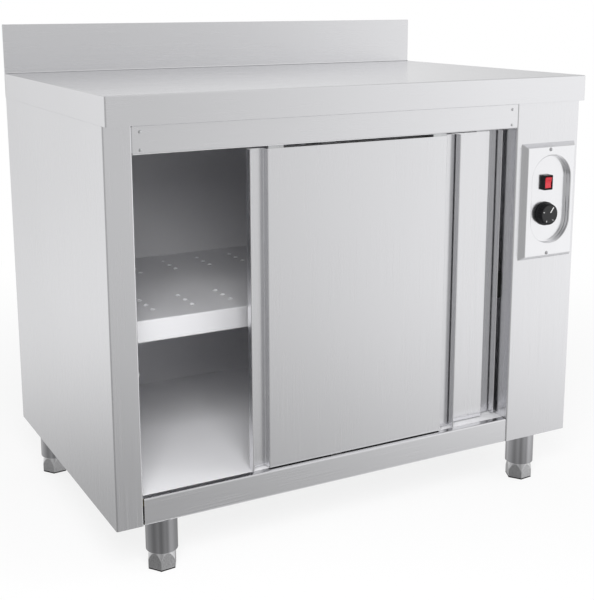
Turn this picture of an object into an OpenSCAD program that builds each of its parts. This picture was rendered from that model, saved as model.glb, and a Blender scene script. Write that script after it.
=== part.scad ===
// Plate warmer cabinet: a stainless worktop cupboard with two hanging sliding doors, a perforated
// shelf, and a control column at the right that blows warm air into the cupboard.
// Millimetres. X runs to the right, Y to the back, Z up. The origin lies on the floor, in the
// middle of the worktop's outline.

/* [Overall size] */
// Width over the side panels, which is also the worktop's width
cabinet_w = 1000; // [940:10:1200]
// Depth of the worktop, front edge to rear edge
cabinet_d = 640; // [600:10:760]
// Height of the worktop above the floor
worktop_h = 850; // [800:5:900]
// Height of the body's underside above the floor, which the legs take up
leg_h = 98; // [90:1:130]

/* [Worktop] */
// Height of the worktop's turned-down edge
edge_h = 50; // [40:1:60]
// How far the worktop stands out over the body at the front
overhang = 17; // [12:1:24]
// Height of the splashback above the worktop
upstand_h = 100; // [60:5:150]
// Thickness of the splashback, a sheet hemmed back on itself
upstand_t = 3; // [2.5:0.5:6]
// Sheet thickness of the worktop
top_t = 1.2; // [1:0.1:2]
// Radius of the worktop's rounded edges
edge_r = 3; // [2:0.5:5]
// Thickness of the stiffening board glued under the worktop
board_t = 18; // [12:1:22]

/* [Body] */
// Sheet thickness of the body panels
panel_t = 1; // [0.8:0.1:1.5]
// Radius on the centre line of the body's bends
bend_r = 2.5; // [2:0.5:4]
// Width of the left post, the front return of the left side panel
post_w = 50; // [40:1:70]
// Width of the control column at the right
column_w = 155; // [150:1:180]
// Height of the header rail over the doors
header_h = 50; // [46:1:60]
// Height of the rail under the doors
rail_h = 50; // [44:1:60]
// Depth of the rail's top flange in front of the cabinet floor
sill_d = 14; // [10:1:18]
// Depth of the jamb, the return of the control column beside the doors
jamb_d = 60; // [56:1:70]
// Space between the rear liner and the worktop's rear edge
rear_space = 65; // [60:1:90]
// How far the back panel lies in front of the rear edge
back_inset = 23; // [20:1:26]
// Thickness of the insulation behind the liners
wool_t = 25; // [15:1:35]
// Width of the returns at the rear of the side panels
return_w = 20; // [16:1:30]
// Space above the ceiling liner, up to the top of the body
roof_space = 44; // [40:1:48]

/* [Doors] */
// How far the front door's face lies behind the face of the body
door_setback = 10; // [8:1:12]
// Thickness of a door
door_t = 18; // [17:0.5:20]
// Space between the two doors
door_gap = 7; // [6:0.5:10]
// How far the two closed doors overlap
door_overlap = 119; // [110:1:160]
// How far the front door stands open from its left stop
door_open = 212.5; // [120:0.5:240]
// Clearance under the doors
door_lift = 2; // [1.5:0.5:3]
// Visible gap over the doors
door_head_gap = 6; // [4:0.5:10]
// Width of a door's finger channel with its lip, along each upright edge
pull_w = 34; // [28:1:40]
// Thickness of the finger channel's hemmed lip
lip_t = 3.5; // [3:0.1:4.5]
// Sheet thickness of the doors
door_sheet_t = 1; // [0.8:0.1:1.2]

/* [Door gear] */
// Radius of a door roller
roller_r = 11; // [9:0.5:12]
// Width of a door roller
roller_w = 6; // [5:0.5:7]
// Radius of the axle pin of a roller
axle_r = 2.5; // [2:0.25:3.5]
// Radial running clearance of rollers, shafts and screws in their bores
running_fit = 0.05; // [0.02:0.01:0.1]
// Width of a hanger plate
hanger_w = 30; // [24:1:40]
// Thickness of a hanger plate
hanger_t = 2; // [1.5:0.5:2.5]
// Sheet thickness of the top track
track_t = 2; // [1.5:0.25:2.5]
// Thickness of the bumpers that the doors close on
bumper_t = 5; // [3:0.5:8]
// Height of the rubber bumper on the jamb
bumper_h = 56; // [40:1:80]

/* [Shelf] */
// Height of the shelf above the cabinet floor
shelf_z = 294; // [200:1:380]
// Height of the shelf's turned-down front edge
shelf_lip_h = 41; // [25:1:50]
// Space between the body's face and the shelf's front edge
shelf_setback = 88; // [80:1:140]
// Radius of a hole in the shelf
hole_r = 4; // [3:0.5:6]
// Distance between the columns of holes
hole_pitch_x = 78.5; // [60:0.5:90]
// Distance between the three holes of a column
hole_pitch_y = 35; // [25:1:45]
// Columns of holes
hole_columns = 9; // [7:1:9]
// Distance of the two bands of holes from the shelf's middle
hole_band = 137.5; // [100:0.5:140]

/* [Legs] */
// Radius of a leg tube
leg_r = 29; // [25:0.5:30]
// Wall of a leg tube
leg_wall = 1.5; // [1:0.25:2.5]
// Inset of the front legs from the sides
front_leg_x = 93; // [80:1:120]
// Inset of the front legs from the face of the body
front_leg_y = 29.5; // [29.5:0.5:60]
// Inset of the rear legs from the sides
rear_leg_x = 43; // [40:1:80]
// Inset of the rear legs from the rear edge
rear_leg_y = 91; // [70:1:120]
// Height of an adjustable foot with its pad
foot_h = 35; // [28:1:40]
// Width of the hexagonal foot across its flats
foot_af = 48; // [40:1:52]
// Thickness of the rubber pad under a foot
pad_t = 2.5; // [2:0.5:4]
// Radius of the foot's threaded stud
stud_r = 8; // [6:0.5:10]
// How far a foot can be screwed out
foot_travel = 25; // [15:1:30]
// Turn of the feet about their studs, in degrees
foot_turn = 5; // [0:1:59]

/* [Controls] */
// Width of the control plate
plate_w = 134; // [130:1:144]
// Height of the control plate
plate_h = 236; // [228:1:260]
// How far the control plate stands out from the column
plate_rise = 12; // [10:0.5:14]
// Width of the control plate's slanted border
plate_slope = 8; // [6:0.5:10]
// Depth of the control plate's top edge below the top of the body
plate_drop = 82; // [60:1:120]
// Width of the round-ended recess in the control plate
recess_w = 97; // [90:1:102]
// Height of the recess in the control plate
recess_h = 178; // [170:1:190]
// Width of the switch
switch_w = 22; // [20:0.5:24]
// Height of the switch
switch_h = 30; // [28:0.5:32]
// How far the switch stands out of the recess
switch_rise = 9; // [7:0.5:10]
// Radius of the knob
knob_r = 24; // [20:0.5:26]
// Length of the knob
knob_len = 15; // [12:0.5:15]
// Height of the switch's centre above the recess's middle
switch_up = 34; // [32:0.5:40]
// Depth of the knob's centre below the recess's middle
knob_down = 30; // [28:0.5:40]

/* [Heater and fan] */
// Distance of the fan's axis behind the middle of the cabinet
fan_y = 20; // [-20:1:60]
// Height of the fan's axis above the cabinet floor
fan_z = 182; // [170:1:220]
// Radius of the fan's impeller
impeller_r = 55; // [45:1:60]
// Number of impeller blades
blades = 12; // [8:1:16]
// Radius of the heating element's ring
heater_ring_r = 72; // [70:1:78]
// Radius of the heating element's tube
heater_tube_r = 4; // [3:0.5:5]
// Depth of the air duct beside the partition
duct_w = 60; // [54:1:70]

/* [Hidden] */

$fn = 48;
bend_steps = 5;         // flats in the outline of a bend
seat_gap = 0.3;         // clearance of loose panels, boards and insulation
slide_gap = 1;          // clearance of parts that pass each other
stop_gap = 0.3;         // play between a door and the bumper that it closes on
wall_gap = 5;           // clearance of insulation from folded edges
cut = 1;                // how far a cutter runs past what it cuts

steel = "lightsteelblue";
bright = "gainsboro";

// Outline of the body
x_left = -cabinet_w / 2;
x_right = cabinet_w / 2;
y_front = -cabinet_d / 2;
y_rear = cabinet_d / 2;
body_y = y_front + overhang;
z_base = leg_h;
z_top = worktop_h - edge_h;

// Door opening and the heated space
open_x0 = x_left + post_w;
open_x1 = x_right - column_w;
open_z0 = z_base + rail_h;
open_z1 = z_top - header_h;
open_w = open_x1 - open_x0;
liner_y = y_rear - rear_space;
ceiling_z = z_top - roof_space;
column_x = (open_x1 + x_right) / 2;

// Back panel and the folds that carry it
back_y = y_rear - back_inset;
return_in = 15;

// Doors
door_w = (open_w - 2 * bumper_t - 2 * stop_gap + door_overlap) / 2;
front_door_x = open_x0 + bumper_t + door_open;
front_door_y = body_y + door_setback;
rear_door_x = open_x1 - bumper_t - stop_gap - door_w;
rear_door_y = front_door_y + door_t + door_gap;
door_z0 = open_z0 + door_lift;
door_z1 = open_z1 - door_head_gap;
back_skin_t = 1;
pull_floor = door_t - back_skin_t - door_sheet_t;   // depth of the finger channel
lip_set = 1;                           // how far the lip stands back behind the face
lip_hem = 11;                          // depth of the lip's inner fold
fold_r = 1.5;                          // centre-line radius of the channel's bends

// Door gear, measured from a door's face
hanger_front = door_sheet_t;
hanger_back = hanger_front + hanger_t;
hanger_in = pull_w + 2;
hanger_mid = hanger_in + hanger_w / 2;
hanger_reach = 29;                     // how far a hanger goes down inside the door
hanger_rise = 7;                       // height of a hanger above its axle
spacer_r = axle_r + 1;
roller_front = hanger_back + 2;
roller_back = roller_front + roller_w;
collar_t = 1.5;
collar_r = axle_r + 2;
web_front = roller_back + running_fit + collar_t + slide_gap;
web_back = web_front + track_t;
ledge_front = hanger_back + slide_gap;
track_front = bend_r + panel_t;        // start of the track behind the face of the body
track_top = z_top - panel_t;
roller_z = track_top - track_t - roller_r - 6;
ledge_top = roller_z - roller_r - running_fit;
hanger_top = roller_z + hanger_rise;
rail_bead = 1.2;                       // height of the bead that keeps the rollers on a ledge
bead_t = 0.8;

// Side returns, jamb and partition
jamb_y = body_y + jamb_d;
jamb_hem = 8;
post_return = 22;                      // depth of the left post's inner return
corner_return = 14;                    // width of the right panel's return behind the column
flange_w = 20;                         // top flanges of the side panels
tab_w = 22;                            // tabs behind the ends of the header rail
rivet_r = 1.6;
rivet_head_r = 3;
rivet_dome_r = 5;
rivet_in = 14;
rivet_low = open_z1 + 8;
rivet_high = z_top - 12;
liner_z0 = z_base + 22;                // foot of the insulation and the partition
buffer_r = 5;
buffer_up = 222;                       // height of the buffers above the cabinet floor
buffer_z = open_z0 + buffer_up;
jamb_bumper_w = 9;
jamb_bumper_up = 278;                  // height of the bumper's middle above the cabinet floor
jamb_bumper_z = open_z0 + jamb_bumper_up;
guide_w = 34;
guide_t = 1.2;
fin_w = 24;
fin_h = 12;
fin_gap = 5;                           // clearance of a fin inside a door

// Shelf
shelf_gap = 4;
shelf_top = open_z0 + shelf_z;
shelf_x0 = open_x0 + shelf_gap;
shelf_x1 = open_x1 - shelf_gap;
shelf_y0 = body_y + shelf_setback;
shelf_y1 = liner_y - slide_gap;
shelf_rear_h = 20;
shelf_hem = 15;
support_w = 22;
support_h = 24;
support_t = 1.5;
support_in = 12;                       // how far a support stops short of the shelf's ends

// Worktop carriers
hat_w = 60;
hat_flange = 18;
hat_t = 1.5;
hat_front = 110;
hat_rear = 130;

// Legs
plug_t = 3;
insert_t = 12;
bolt_r = 5;
bolt_head_af = 17;
bolt_head_h = 6.5;
fixing_w = 80;
fixing_t = 3;
foot_rest_gap = 0.3;
foot_corner_r = foot_af / sqrt(3);
foot_edge_h = 16;                      // height of the foot's upright corners
foot_top_r = foot_af / 2 - 0.5;
stud_top = foot_h + insert_t + foot_travel + 2;
leg_places = [
    [x_left + front_leg_x, body_y + front_leg_y],
    [x_right - front_leg_x, body_y + front_leg_y],
    [x_left + rear_leg_x, y_rear - rear_leg_y],
    [x_right - rear_leg_x, y_rear - rear_leg_y]];

// Controls
plate_z1 = z_top - plate_drop;
plate_z0 = plate_z1 - plate_h;
plate_x = column_x + 2.5;
plate_y = body_y - plate_rise;
plate_t = 1;
recess_x = plate_x + 2;
recess_z = (plate_z0 + plate_z1) / 2 + 4;
recess_y = body_y - plate_t;           // front of the recess's floor
recess_rim = 7;                        // seat of the recess's floor on the column
controls_x = recess_x - 5;
switch_z = recess_z + switch_up;
knob_z = recess_z - knob_down;
plate_screw_in = 12.5;
plate_screw_r = 2;
plate_screw_head_r = 4;
plate_screw_dome_r = 6;
plate_screw_reach = 4;                 // how far a screw comes through the column
switch_frame = 2.5;
switch_body_in = 3;
switch_body_d = 24;
rocker_gap = 0.5;
rocker_w = switch_w - 2 * switch_frame - 2 * rocker_gap;
rocker_h = switch_h - 2 * switch_frame - 2 * rocker_gap;
rocker_y = recess_y - switch_rise + 4.6;
rocker_tilt = 7;                       // half of the rocker's swing
rocker_pin_r = 1.25;
pin_reach = 1.5;                       // how far the pivot pin goes into each wall
shaft_r = 3;
shaft_hole_r = 4;
shaft_reach = 10;                      // how far the shaft goes into the thermostat
knob_gap = 0.6;
knob_y = recess_y - knob_gap;
knob_cap = 4;                          // solid end of the knob in front of its bore
knob_skirt = 4;
knob_taper = 1.5;
knob_chamfer = 1;
flutes = 36;
flute_r = 0.7;
thermostat_w = 36;
thermostat_d = 30;
nozzle_r = 8;                          // neck at the back of the thermostat for the capillary
nozzle_drop = 8;
capillary_r = 1;
bulb_r = 3;
bulb_len = 80;
probe_x = open_x1 + panel_t + 12;
probe_back = 40;                       // distance of the bulb behind the jamb
probe_y = jamb_y + probe_back;
probe_bend = 20;                       // straight run of the capillary behind the thermostat
clip_w = 14;

// Heater and fan, in the column beside the partition
duct_x0 = open_x1 + panel_t;
duct_x1 = duct_x0 + duct_w;
axis_z = open_z0 + fan_z;
duct_margin = 10;
duct_half = heater_ring_r + heater_tube_r + duct_margin;
duct_z0 = open_z0 + 12;
duct_z1 = axis_z + duct_half;
motor_r = 34;
motor_len = 46;
motor_cap_r = 14;
motor_cap_len = 5;
motor_boss_r = 12;
motor_boss_len = 6;
motor_foot = 26;                       // distance of the motor's feet from its axis
fan_shaft_r = 4;
fan_shaft_reach = 28;                  // how far the shaft goes into the motor
hub_r = 11;
blade_t = 1.2;
disc_t = 1.5;
impeller_x0 = duct_x0 + 16;
impeller_w = 22;
impeller_x1 = impeller_x0 + impeller_w;
intake_r = 5;
intake_pitch = 16;
slot_w = 66;
slot_h = 7;
slot_pitch = 15;
slot_gap = 12;
slots = 3;
element_x = impeller_x0 + impeller_w / 2;
terminal_out = 12;                     // distance of the element's legs from the fan's plane
element_top = sqrt(heater_ring_r * heater_ring_r - terminal_out * terminal_out);
element_leg = 14;                      // how far the element's legs come out of the duct
element_pin = 8;

// Supply side
gland_x = column_x + 2;
gland_up = 82;                         // height of the gland above the body's underside
gland_z = z_base + gland_up;
gland_r = 10;
gland_bore_r = 5;
gland_in = 10;
nut_t = 5;
nut_af = 27;
dome_len = 12;
terminal_w = 50;
terminal_d = 22;
terminal_h = 28;
terminal_hole_r = 3;
terminal_z = z_base + panel_t;
terminal_y = y_rear - rear_leg_y - fixing_w / 2 - terminal_d - 12;
loom_r = 4;
loom_in = 26;                          // distance of the loom from the column's outer side
loom_x = x_right - loom_in;
loom_rise = 12;                        // height of the loom above the terminal block
vent_slots = 8;
vent_pitch = 16;
vent_w = 60;
vent_r = 2;

// ---------- outlines of folded sheet ----------

function unit(v) = v / norm(v);
function short_turn(a) = a > 180 ? a - 360 : a < -180 ? a + 360 : a;

// The arc that rounds corner i of path p with radius r
function rounded(p, i, r) =
    let (a = unit(p[i - 1] - p[i]), b = unit(p[i + 1] - p[i]),
        half = acos(a * b) / 2,
        centre = p[i] + unit(a + b) * r / sin(half),
        s = p[i] + a * r / tan(half) - centre,
        e = p[i] + b * r / tan(half) - centre,
        a0 = atan2(s[1], s[0]),
        sweep = short_turn(atan2(e[1], e[0]) - a0))
    [for (k = [0:bend_steps]) centre + r * [cos(a0 + sweep * k / bend_steps),
        sin(a0 + sweep * k / bend_steps)]];

// Path p with every inner corner rounded
function bent(p, r) = [p[0], for (i = [1:len(p) - 2]) each rounded(p, i, r), p[len(p) - 1]];

// Path p moved sideways by d, to its left
function beside(p, d) = [for (i = [0:len(p) - 1])
    let (before = unit(p[max(i, 1)] - p[max(i, 1) - 1]),
        after = unit(p[min(i, len(p) - 2) + 1] - p[min(i, len(p) - 2)]),
        mid = unit(before + after), n = [-mid[1], mid[0]])
    p[i] + n * d / (n * [-before[1], before[0]])];

function reversed(p) = [for (i = [len(p) - 1:-1:0]) p[i]];

// Outline of a sheet of thickness t whose centre line is path p, bent with radius r
function strip(p, t, r) =
    let (line = bent(p, r)) concat(beside(line, t / 2), reversed(beside(line, -t / 2)));

// Extrudes an outline of (y, z) points from x0 to x1
module along_x(x0, x1) translate([x0, 0, 0]) rotate([90, 0, 90]) linear_extrude(x1 - x0) children();

// Extrudes an outline of (x, z) points from y0 to y1
module along_y(y0, y1) translate([0, y1, 0]) rotate([90, 0, 0]) linear_extrude(y1 - y0) children();

// Extrudes an outline of (x, y) points from z0 to z1
module along_z(z0, z1) translate([0, 0, z0]) linear_extrude(z1 - z0) children();

// A box between two corners
module block(a, b) translate(a) cube(b - a);

// Round bars along each axis
module bar_x(x0, x1, y, z, r) translate([x0, y, z]) rotate([0, 90, 0]) cylinder(h = x1 - x0, r = r);
module bar_y(y0, y1, x, z, r) translate([x, y1, z]) rotate([90, 0, 0]) cylinder(h = y1 - y0, r = r);
module bar_z(z0, z1, x, y, r) translate([x, y, z0]) cylinder(h = z1 - z0, r = r);

// A round-ended upright slab, centred on x, z, from y0 to y1
module stadium(y0, y1, x, z, w, h) {
    block([x - w / 2, y0, z - (h - w) / 2], [x + w / 2, y1, z + (h - w) / 2]);
    for (end = [-1, 1]) bar_y(y0, y1, x, z + end * (h - w) / 2, w / 2);
}

// A round rod through the points of a route
module rod(route, r) {
    for (i = [0:len(route) - 2]) {
        d = route[i + 1] - route[i];
        translate(route[i]) rotate([0, acos(d[2] / norm(d)), atan2(d[1], d[0])])
            cylinder(h = norm(d), r = r, $fn = 24);
    }
    for (i = [1:len(route) - 2]) translate(route[i]) sphere(r = r, $fn = 24);
}

// ---------- worktop ----------

// The worktop's outer form with rounded top and front edges, drawn in by d on every side
module worktop_form(d) {
    r = edge_r - d;
    x0 = x_left + d;
    x1 = x_right - d;
    y0 = y_front + d;
    y1 = y_rear - d;
    z1 = worktop_h - d;
    z0 = d > 0 ? z_top - cut : z_top;
    intersection() {
        along_x(x0, x1) polygon([[y0, z0], each rounded([[y0, z0], [y0, z1], [y1, z1]], 1, r),
            [y1, z1], [y1, z0]]);
        along_y(y0, y1) polygon([[x0, z0], each rounded([[x0, z0], [x0, z1], [x1, z1]], 1, r),
            each rounded([[x0, z1], [x1, z1], [x1, z0]], 1, r), [x1, z0]]);
        along_z(z0, z1) polygon([[x0, y1], each rounded([[x0, y1], [x0, y0], [x1, y0]], 1, r),
            each rounded([[x0, y0], [x1, y0], [x1, y1]], 1, r), [x1, y1]]);
    }
}

module worktop() color(bright) {
    z1 = worktop_h + upstand_h;
    y0 = y_rear - upstand_t;
    difference() {
        worktop_form(0);
        worktop_form(top_t);
    }
    // turned-in hem under the front edge, closing the overhang
    block([x_left + edge_r, y_front + top_t, z_top], [x_right - edge_r, body_y - 1, z_top + top_t]);
    // splashback with a coved foot and a rounded hem at its top
    along_x(x_left, x_right) polygon([
        each rounded([[y0 - edge_r * 4, worktop_h], [y0, worktop_h], [y0, z1]], 1, edge_r),
        each rounded([[y0, worktop_h], [y0, z1], [y_rear, z1]], 1, upstand_t * 0.45),
        each rounded([[y0, z1], [y_rear, z1], [y_rear, worktop_h]], 1, upstand_t * 0.45),
        [y_rear, worktop_h - top_t], [y0 - edge_r, worktop_h - top_t]]);
}

module worktop_board() color("burlywood")
    block([x_left + edge_r + seat_gap, y_front + top_t + edge_r, worktop_h - top_t - board_t],
        [x_right - edge_r - seat_gap, y_rear - top_t - seat_gap, worktop_h - top_t]);

// Two top-hat bars across the body that carry the board
module top_crossbars() color(steel)
    for (y = [y_front + hat_front, y_rear - hat_rear]) {
        w = hat_w / 2;
        z0 = z_top + hat_t / 2;
        z1 = worktop_h - top_t - board_t - hat_t / 2;
        along_x(x_left + top_t + seat_gap, x_right - top_t - seat_gap)
            polygon(strip([[y - w - hat_flange, z0], [y - w, z0], [y - w, z1], [y + w, z1],
                [y + w, z0], [y + w + hat_flange, z0]], hat_t, bend_r));
    }

// ---------- side panels and column ----------

// Top flange of a side panel, which the worktop stands on
module top_flange(x0, x1)
    block([x0, body_y + post_return, z_top - panel_t], [x1, back_y - wall_gap, z_top]);

module left_side_panel() color(bright) {
    h = panel_t / 2;
    along_z(z_base, z_top) polygon(strip([
        [x_left + return_w + return_in, back_y - h], [x_left + return_w, back_y - h],
        [x_left + return_w, y_rear - h], [x_left + h, y_rear - h], [x_left + h, body_y + h],
        [open_x0 - h, body_y + h], [open_x0 - h, body_y + post_return]], panel_t, bend_r));
    top_flange(x_left + panel_t / 2, x_left + flange_w);
    // tab behind the left end of the header rail, riveted to it
    header_tab(open_x0 - panel_t, open_x0 + tab_w, open_x0 + rivet_in);
}

module right_side_panel() color(bright) {
    h = panel_t / 2;
    along_z(z_base, z_top) polygon(strip([
        [x_right - return_w - return_in, back_y - h], [x_right - return_w, back_y - h],
        [x_right - return_w, y_rear - h], [x_right - h, y_rear - h],
        [x_right - h, body_y + panel_t + h], [x_right - corner_return, body_y + panel_t + h]],
        panel_t, bend_r));
    top_flange(x_right - flange_w, x_right - panel_t / 2);
}

// Upright tab behind an end of the header rail, with its two rivet holes
module header_tab(x0, x1, rivet_x) difference() {
    block([x0, body_y + panel_t, open_z1 + bend_r + panel_t],
        [x1, body_y + 2 * panel_t, z_top - bend_r - panel_t]);
    for (z = [rivet_low, rivet_high])
        bar_y(body_y, body_y + 3 * panel_t, rivet_x, z, rivet_r + running_fit);
}

module column_front() color(bright) difference() {
    h = panel_t / 2;
    union() {
        along_z(z_base, z_top) polygon(strip([[open_x1 + h + jamb_hem, jamb_y - h],
            [open_x1 + h, jamb_y - h], [open_x1 + h, body_y + h], [x_right, body_y + h]],
            panel_t, bend_r));
        header_tab(open_x1 - tab_w, open_x1 + panel_t, open_x1 - rivet_in);
    }
    // opening behind the recess of the control plate
    stadium(body_y - cut, body_y + panel_t + cut, recess_x, recess_z,
        recess_w - 2 * recess_rim, recess_h - 2 * recess_rim);
    for (z = [plate_z0 + plate_screw_in, plate_z1 - plate_screw_in])
        bar_y(body_y - cut, body_y + panel_t + cut, controls_x, z, plate_screw_r + running_fit);
}

// ---------- liners, insulation and outer back ----------

module left_liner() color(steel)
    block([open_x0 - panel_t, body_y + post_return + seat_gap, open_z0 + seat_gap],
        [open_x0, liner_y - seat_gap, ceiling_z - seat_gap]);

module left_insulation() color("khaki")
    block([open_x0 - panel_t - seat_gap - wool_t, body_y + post_return + wall_gap, liner_z0],
        [open_x0 - panel_t - seat_gap, back_y - panel_t - wall_gap, z_top - panel_t - wall_gap]);

// Inner wall between the heated space and the control column
module partition() color(steel) difference() {
    block([open_x1, jamb_y + seat_gap, liner_z0], [open_x1 + panel_t, liner_y - seat_gap, z_top - wall_gap]);
    // intake holes in front of the impeller
    for (ring = [0:2], k = [0:max(0, 6 * ring - 1)]) {
        a = 360 * k / max(1, 6 * ring);
        bar_x(open_x1 - cut, open_x1 + panel_t + cut, fan_y + intake_pitch * ring * cos(a),
            axis_z + intake_pitch * ring * sin(a), intake_r);
    }
    // outlet slots under the fan
    for (row = [0:slots - 1], side = [-1, 1]) {
        z = duct_z0 + slot_pitch * (row + 1);
        y = fan_y + side * (slot_w + slot_gap) / 2;
        block([open_x1 - cut, y - (slot_w - slot_h) / 2, z - slot_h / 2],
            [open_x1 + panel_t + cut, y + (slot_w - slot_h) / 2, z + slot_h / 2]);
        for (end = [-1, 1])
            bar_x(open_x1 - cut, open_x1 + panel_t + cut, y + end * (slot_w - slot_h) / 2, z,
                slot_h / 2);
    }
}

module rear_panel() color(steel) difference() {
    edge = return_w + bend_r + panel_t;
    block([x_left + edge, back_y, z_base + 2 * panel_t],
        [x_right - edge, back_y + panel_t, z_top - 2 * panel_t]);
    bar_y(back_y - cut, back_y + panel_t + cut, gland_x, gland_z, gland_r + running_fit);
    // cooling slots behind the controls
    for (row = [0:vent_slots - 1]) {
        z = recess_z + (row - (vent_slots - 1) / 2) * vent_pitch;
        w = vent_w / 2 - vent_r;
        block([column_x - w, back_y - cut, z - vent_r], [column_x + w, back_y + panel_t + cut, z + vent_r]);
        for (end = [-1, 1])
            bar_y(back_y - cut, back_y + panel_t + cut, column_x + end * w, z, vent_r);
    }
}

module rear_liner() color(steel)
    block([open_x0, liner_y, open_z0], [open_x1 - seat_gap, liner_y + panel_t, ceiling_z - seat_gap]);

module rear_insulation() color("khaki")
    block([open_x0, liner_y + panel_t + seat_gap, liner_z0],
        [open_x1 - seat_gap, liner_y + panel_t + seat_gap + wool_t, z_top - wall_gap]);

module ceiling_liner() color(steel)
    block([open_x0, rear_door_y + web_back + slide_gap, ceiling_z],
        [open_x1 - seat_gap, liner_y + panel_t, ceiling_z + panel_t]);

module ceiling_insulation() color("khaki")
    block([open_x0, rear_door_y + web_back + slide_gap, ceiling_z + panel_t + seat_gap],
        [open_x1 - seat_gap, liner_y, ceiling_z + panel_t + seat_gap + wool_t]);

module floor_liner() color(bright)
    block([open_x0, body_y + sill_d + 2 * slide_gap, open_z0 - panel_t],
        [open_x1 - seat_gap, liner_y, open_z0]);

module floor_insulation() color("khaki")
    block([open_x0, body_y + post_return + wall_gap, open_z0 - panel_t - seat_gap - wool_t],
        [open_x1 - seat_gap, liner_y, open_z0 - panel_t - seat_gap]);

module base_tray() color(steel) difference() {
    x0 = x_left + panel_t;
    x1 = x_right - panel_t;
    union() {
        block([x0, body_y + post_return + slide_gap, z_base], [x1, back_y - panel_t, z_base + panel_t]);
        for (x = [x0, x1 - panel_t])
            block([x, body_y + post_return + wall_gap, z_base],
                [x + panel_t, back_y - return_w - wall_gap, liner_z0 - slide_gap]);
    }
    for (p = leg_places)
        bar_z(z_base - cut, z_base + panel_t + cut, p[0], p[1], bolt_r + running_fit);
    // notch round the foot of the jamb
    block([open_x1 - seat_gap, body_y, z_base - cut],
        [open_x1 + jamb_hem + panel_t + seat_gap, jamb_y + seat_gap, z_base + panel_t + cut]);
}

module bottom_rail() color(bright) {
    h = panel_t / 2;
    gap = 1.5 * slide_gap;
    along_x(open_x0 + gap, open_x1 - gap) polygon(strip([[body_y + sill_d, open_z0 - h],
        [body_y + h, open_z0 - h], [body_y + h, z_base + h], [body_y + post_return, z_base + h]],
        panel_t, bend_r));
}

module header_rail() color(bright) difference() {
    h = panel_t / 2;
    along_x(open_x0 + seat_gap, open_x1 - seat_gap) polygon(strip([
        [body_y + door_setback / 2, open_z1 + h], [body_y + h, open_z1 + h],
        [body_y + h, z_top - h], [rear_door_y + web_back, z_top - h]], panel_t, bend_r));
    for (x = [open_x0 + rivet_in, open_x1 - rivet_in], z = [rivet_low, rivet_high])
        bar_y(body_y - cut, body_y + panel_t + cut, x, z, rivet_r + running_fit);
}

module header_rivets() color("silver")
    for (x = [open_x0 + rivet_in, open_x1 - rivet_in], z = [rivet_low, rivet_high]) {
        sink = sqrt(rivet_dome_r * rivet_dome_r - rivet_head_r * rivet_head_r);
        intersection() {
            translate([x, body_y + sink, z]) sphere(r = rivet_dome_r);
            bar_y(body_y - 2, body_y, x, z, rivet_head_r);
        }
        bar_y(body_y, body_y + 2 * panel_t + 2, x, z, rivet_r);
    }

// ---------- door gear in the header ----------

// Track outline under the header: a top plate, and a web with a ledge behind each door's rollers
module top_track() color("silver")
    along_x(open_x0 + seat_gap, open_x1 - seat_gap) {
        z = track_top - track_t;
        polygon([[body_y + track_front, z], [body_y + track_front, track_top],
            [rear_door_y + web_back, track_top], [rear_door_y + web_back, z]]);
        for (y = [front_door_y, rear_door_y])
            polygon([[y + web_back, z + track_t / 2], [y + web_back, ledge_top - track_t],
                [y + ledge_front, ledge_top - track_t], [y + ledge_front, ledge_top + rail_bead],
                [y + ledge_front + bead_t, ledge_top + rail_bead],
                [y + ledge_front + bead_t, ledge_top],
                [y + web_front, ledge_top], [y + web_front, z + track_t / 2]]);
    }

// Rubber strip on the jamb that the rear door closes on
module jamb_bumper() color("dimgray")
    translate([0, rear_door_y + jamb_bumper_w / 2, 0]) along_x(open_x1 - bumper_t, open_x1) {
        half = (bumper_h - jamb_bumper_w) / 2;
        translate([-jamb_bumper_w / 2, jamb_bumper_z - half]) square([jamb_bumper_w, 2 * half]);
        for (end = [-1, 1]) translate([0, jamb_bumper_z + end * half]) circle(d = jamb_bumper_w);
    }

// Round buffers beside the left post, and one in the track that stops the front door at the right
module door_buffers() color("whitesmoke") {
    for (y = [front_door_y, rear_door_y])
        bar_x(open_x0, open_x0 + bumper_t, y + door_t / 2, buffer_z, buffer_r);
    block([open_x1 - bumper_t - hanger_mid + roller_r, front_door_y + roller_front, ledge_top],
        [open_x1 - slide_gap, front_door_y + roller_back, ledge_top + 2 * roller_r]);
}

// Nylon guide on the floor with one fin inside the foot of each door
module floor_guide() color("whitesmoke") {
    x = (open_x0 + open_x1) / 2;
    block([x - guide_w / 2, body_y + sill_d + 2 * slide_gap, open_z0],
        [x + guide_w / 2, rear_door_y + door_t, open_z0 + guide_t]);
    for (y = [front_door_y, rear_door_y])
        block([x - fin_w / 2, y + door_sheet_t + fin_gap, open_z0],
            [x + fin_w / 2, y + door_t - back_skin_t - fin_gap, door_z0 + fin_h]);
}

// ---------- shelf ----------

module shelf() color(bright) difference() {
    h = panel_t / 2;
    along_x(shelf_x0, shelf_x1) polygon(strip([
        [shelf_y0 + shelf_hem, shelf_top - shelf_lip_h + h], [shelf_y0 + h, shelf_top - shelf_lip_h + h],
        [shelf_y0 + h, shelf_top - h], [shelf_y1 - h, shelf_top - h],
        [shelf_y1 - h, shelf_top - shelf_rear_h]], panel_t, bend_r));
    for (i = [0:hole_columns - 1], band = [-1, 1], k = [-1:1])
        bar_z(shelf_top - panel_t - cut, shelf_top + cut,
            (open_x0 + open_x1) / 2 + (i - (hole_columns - 1) / 2) * hole_pitch_x,
            (shelf_y0 + shelf_y1) / 2 + band * hole_band + k * hole_pitch_y, hole_r);
}

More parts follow.
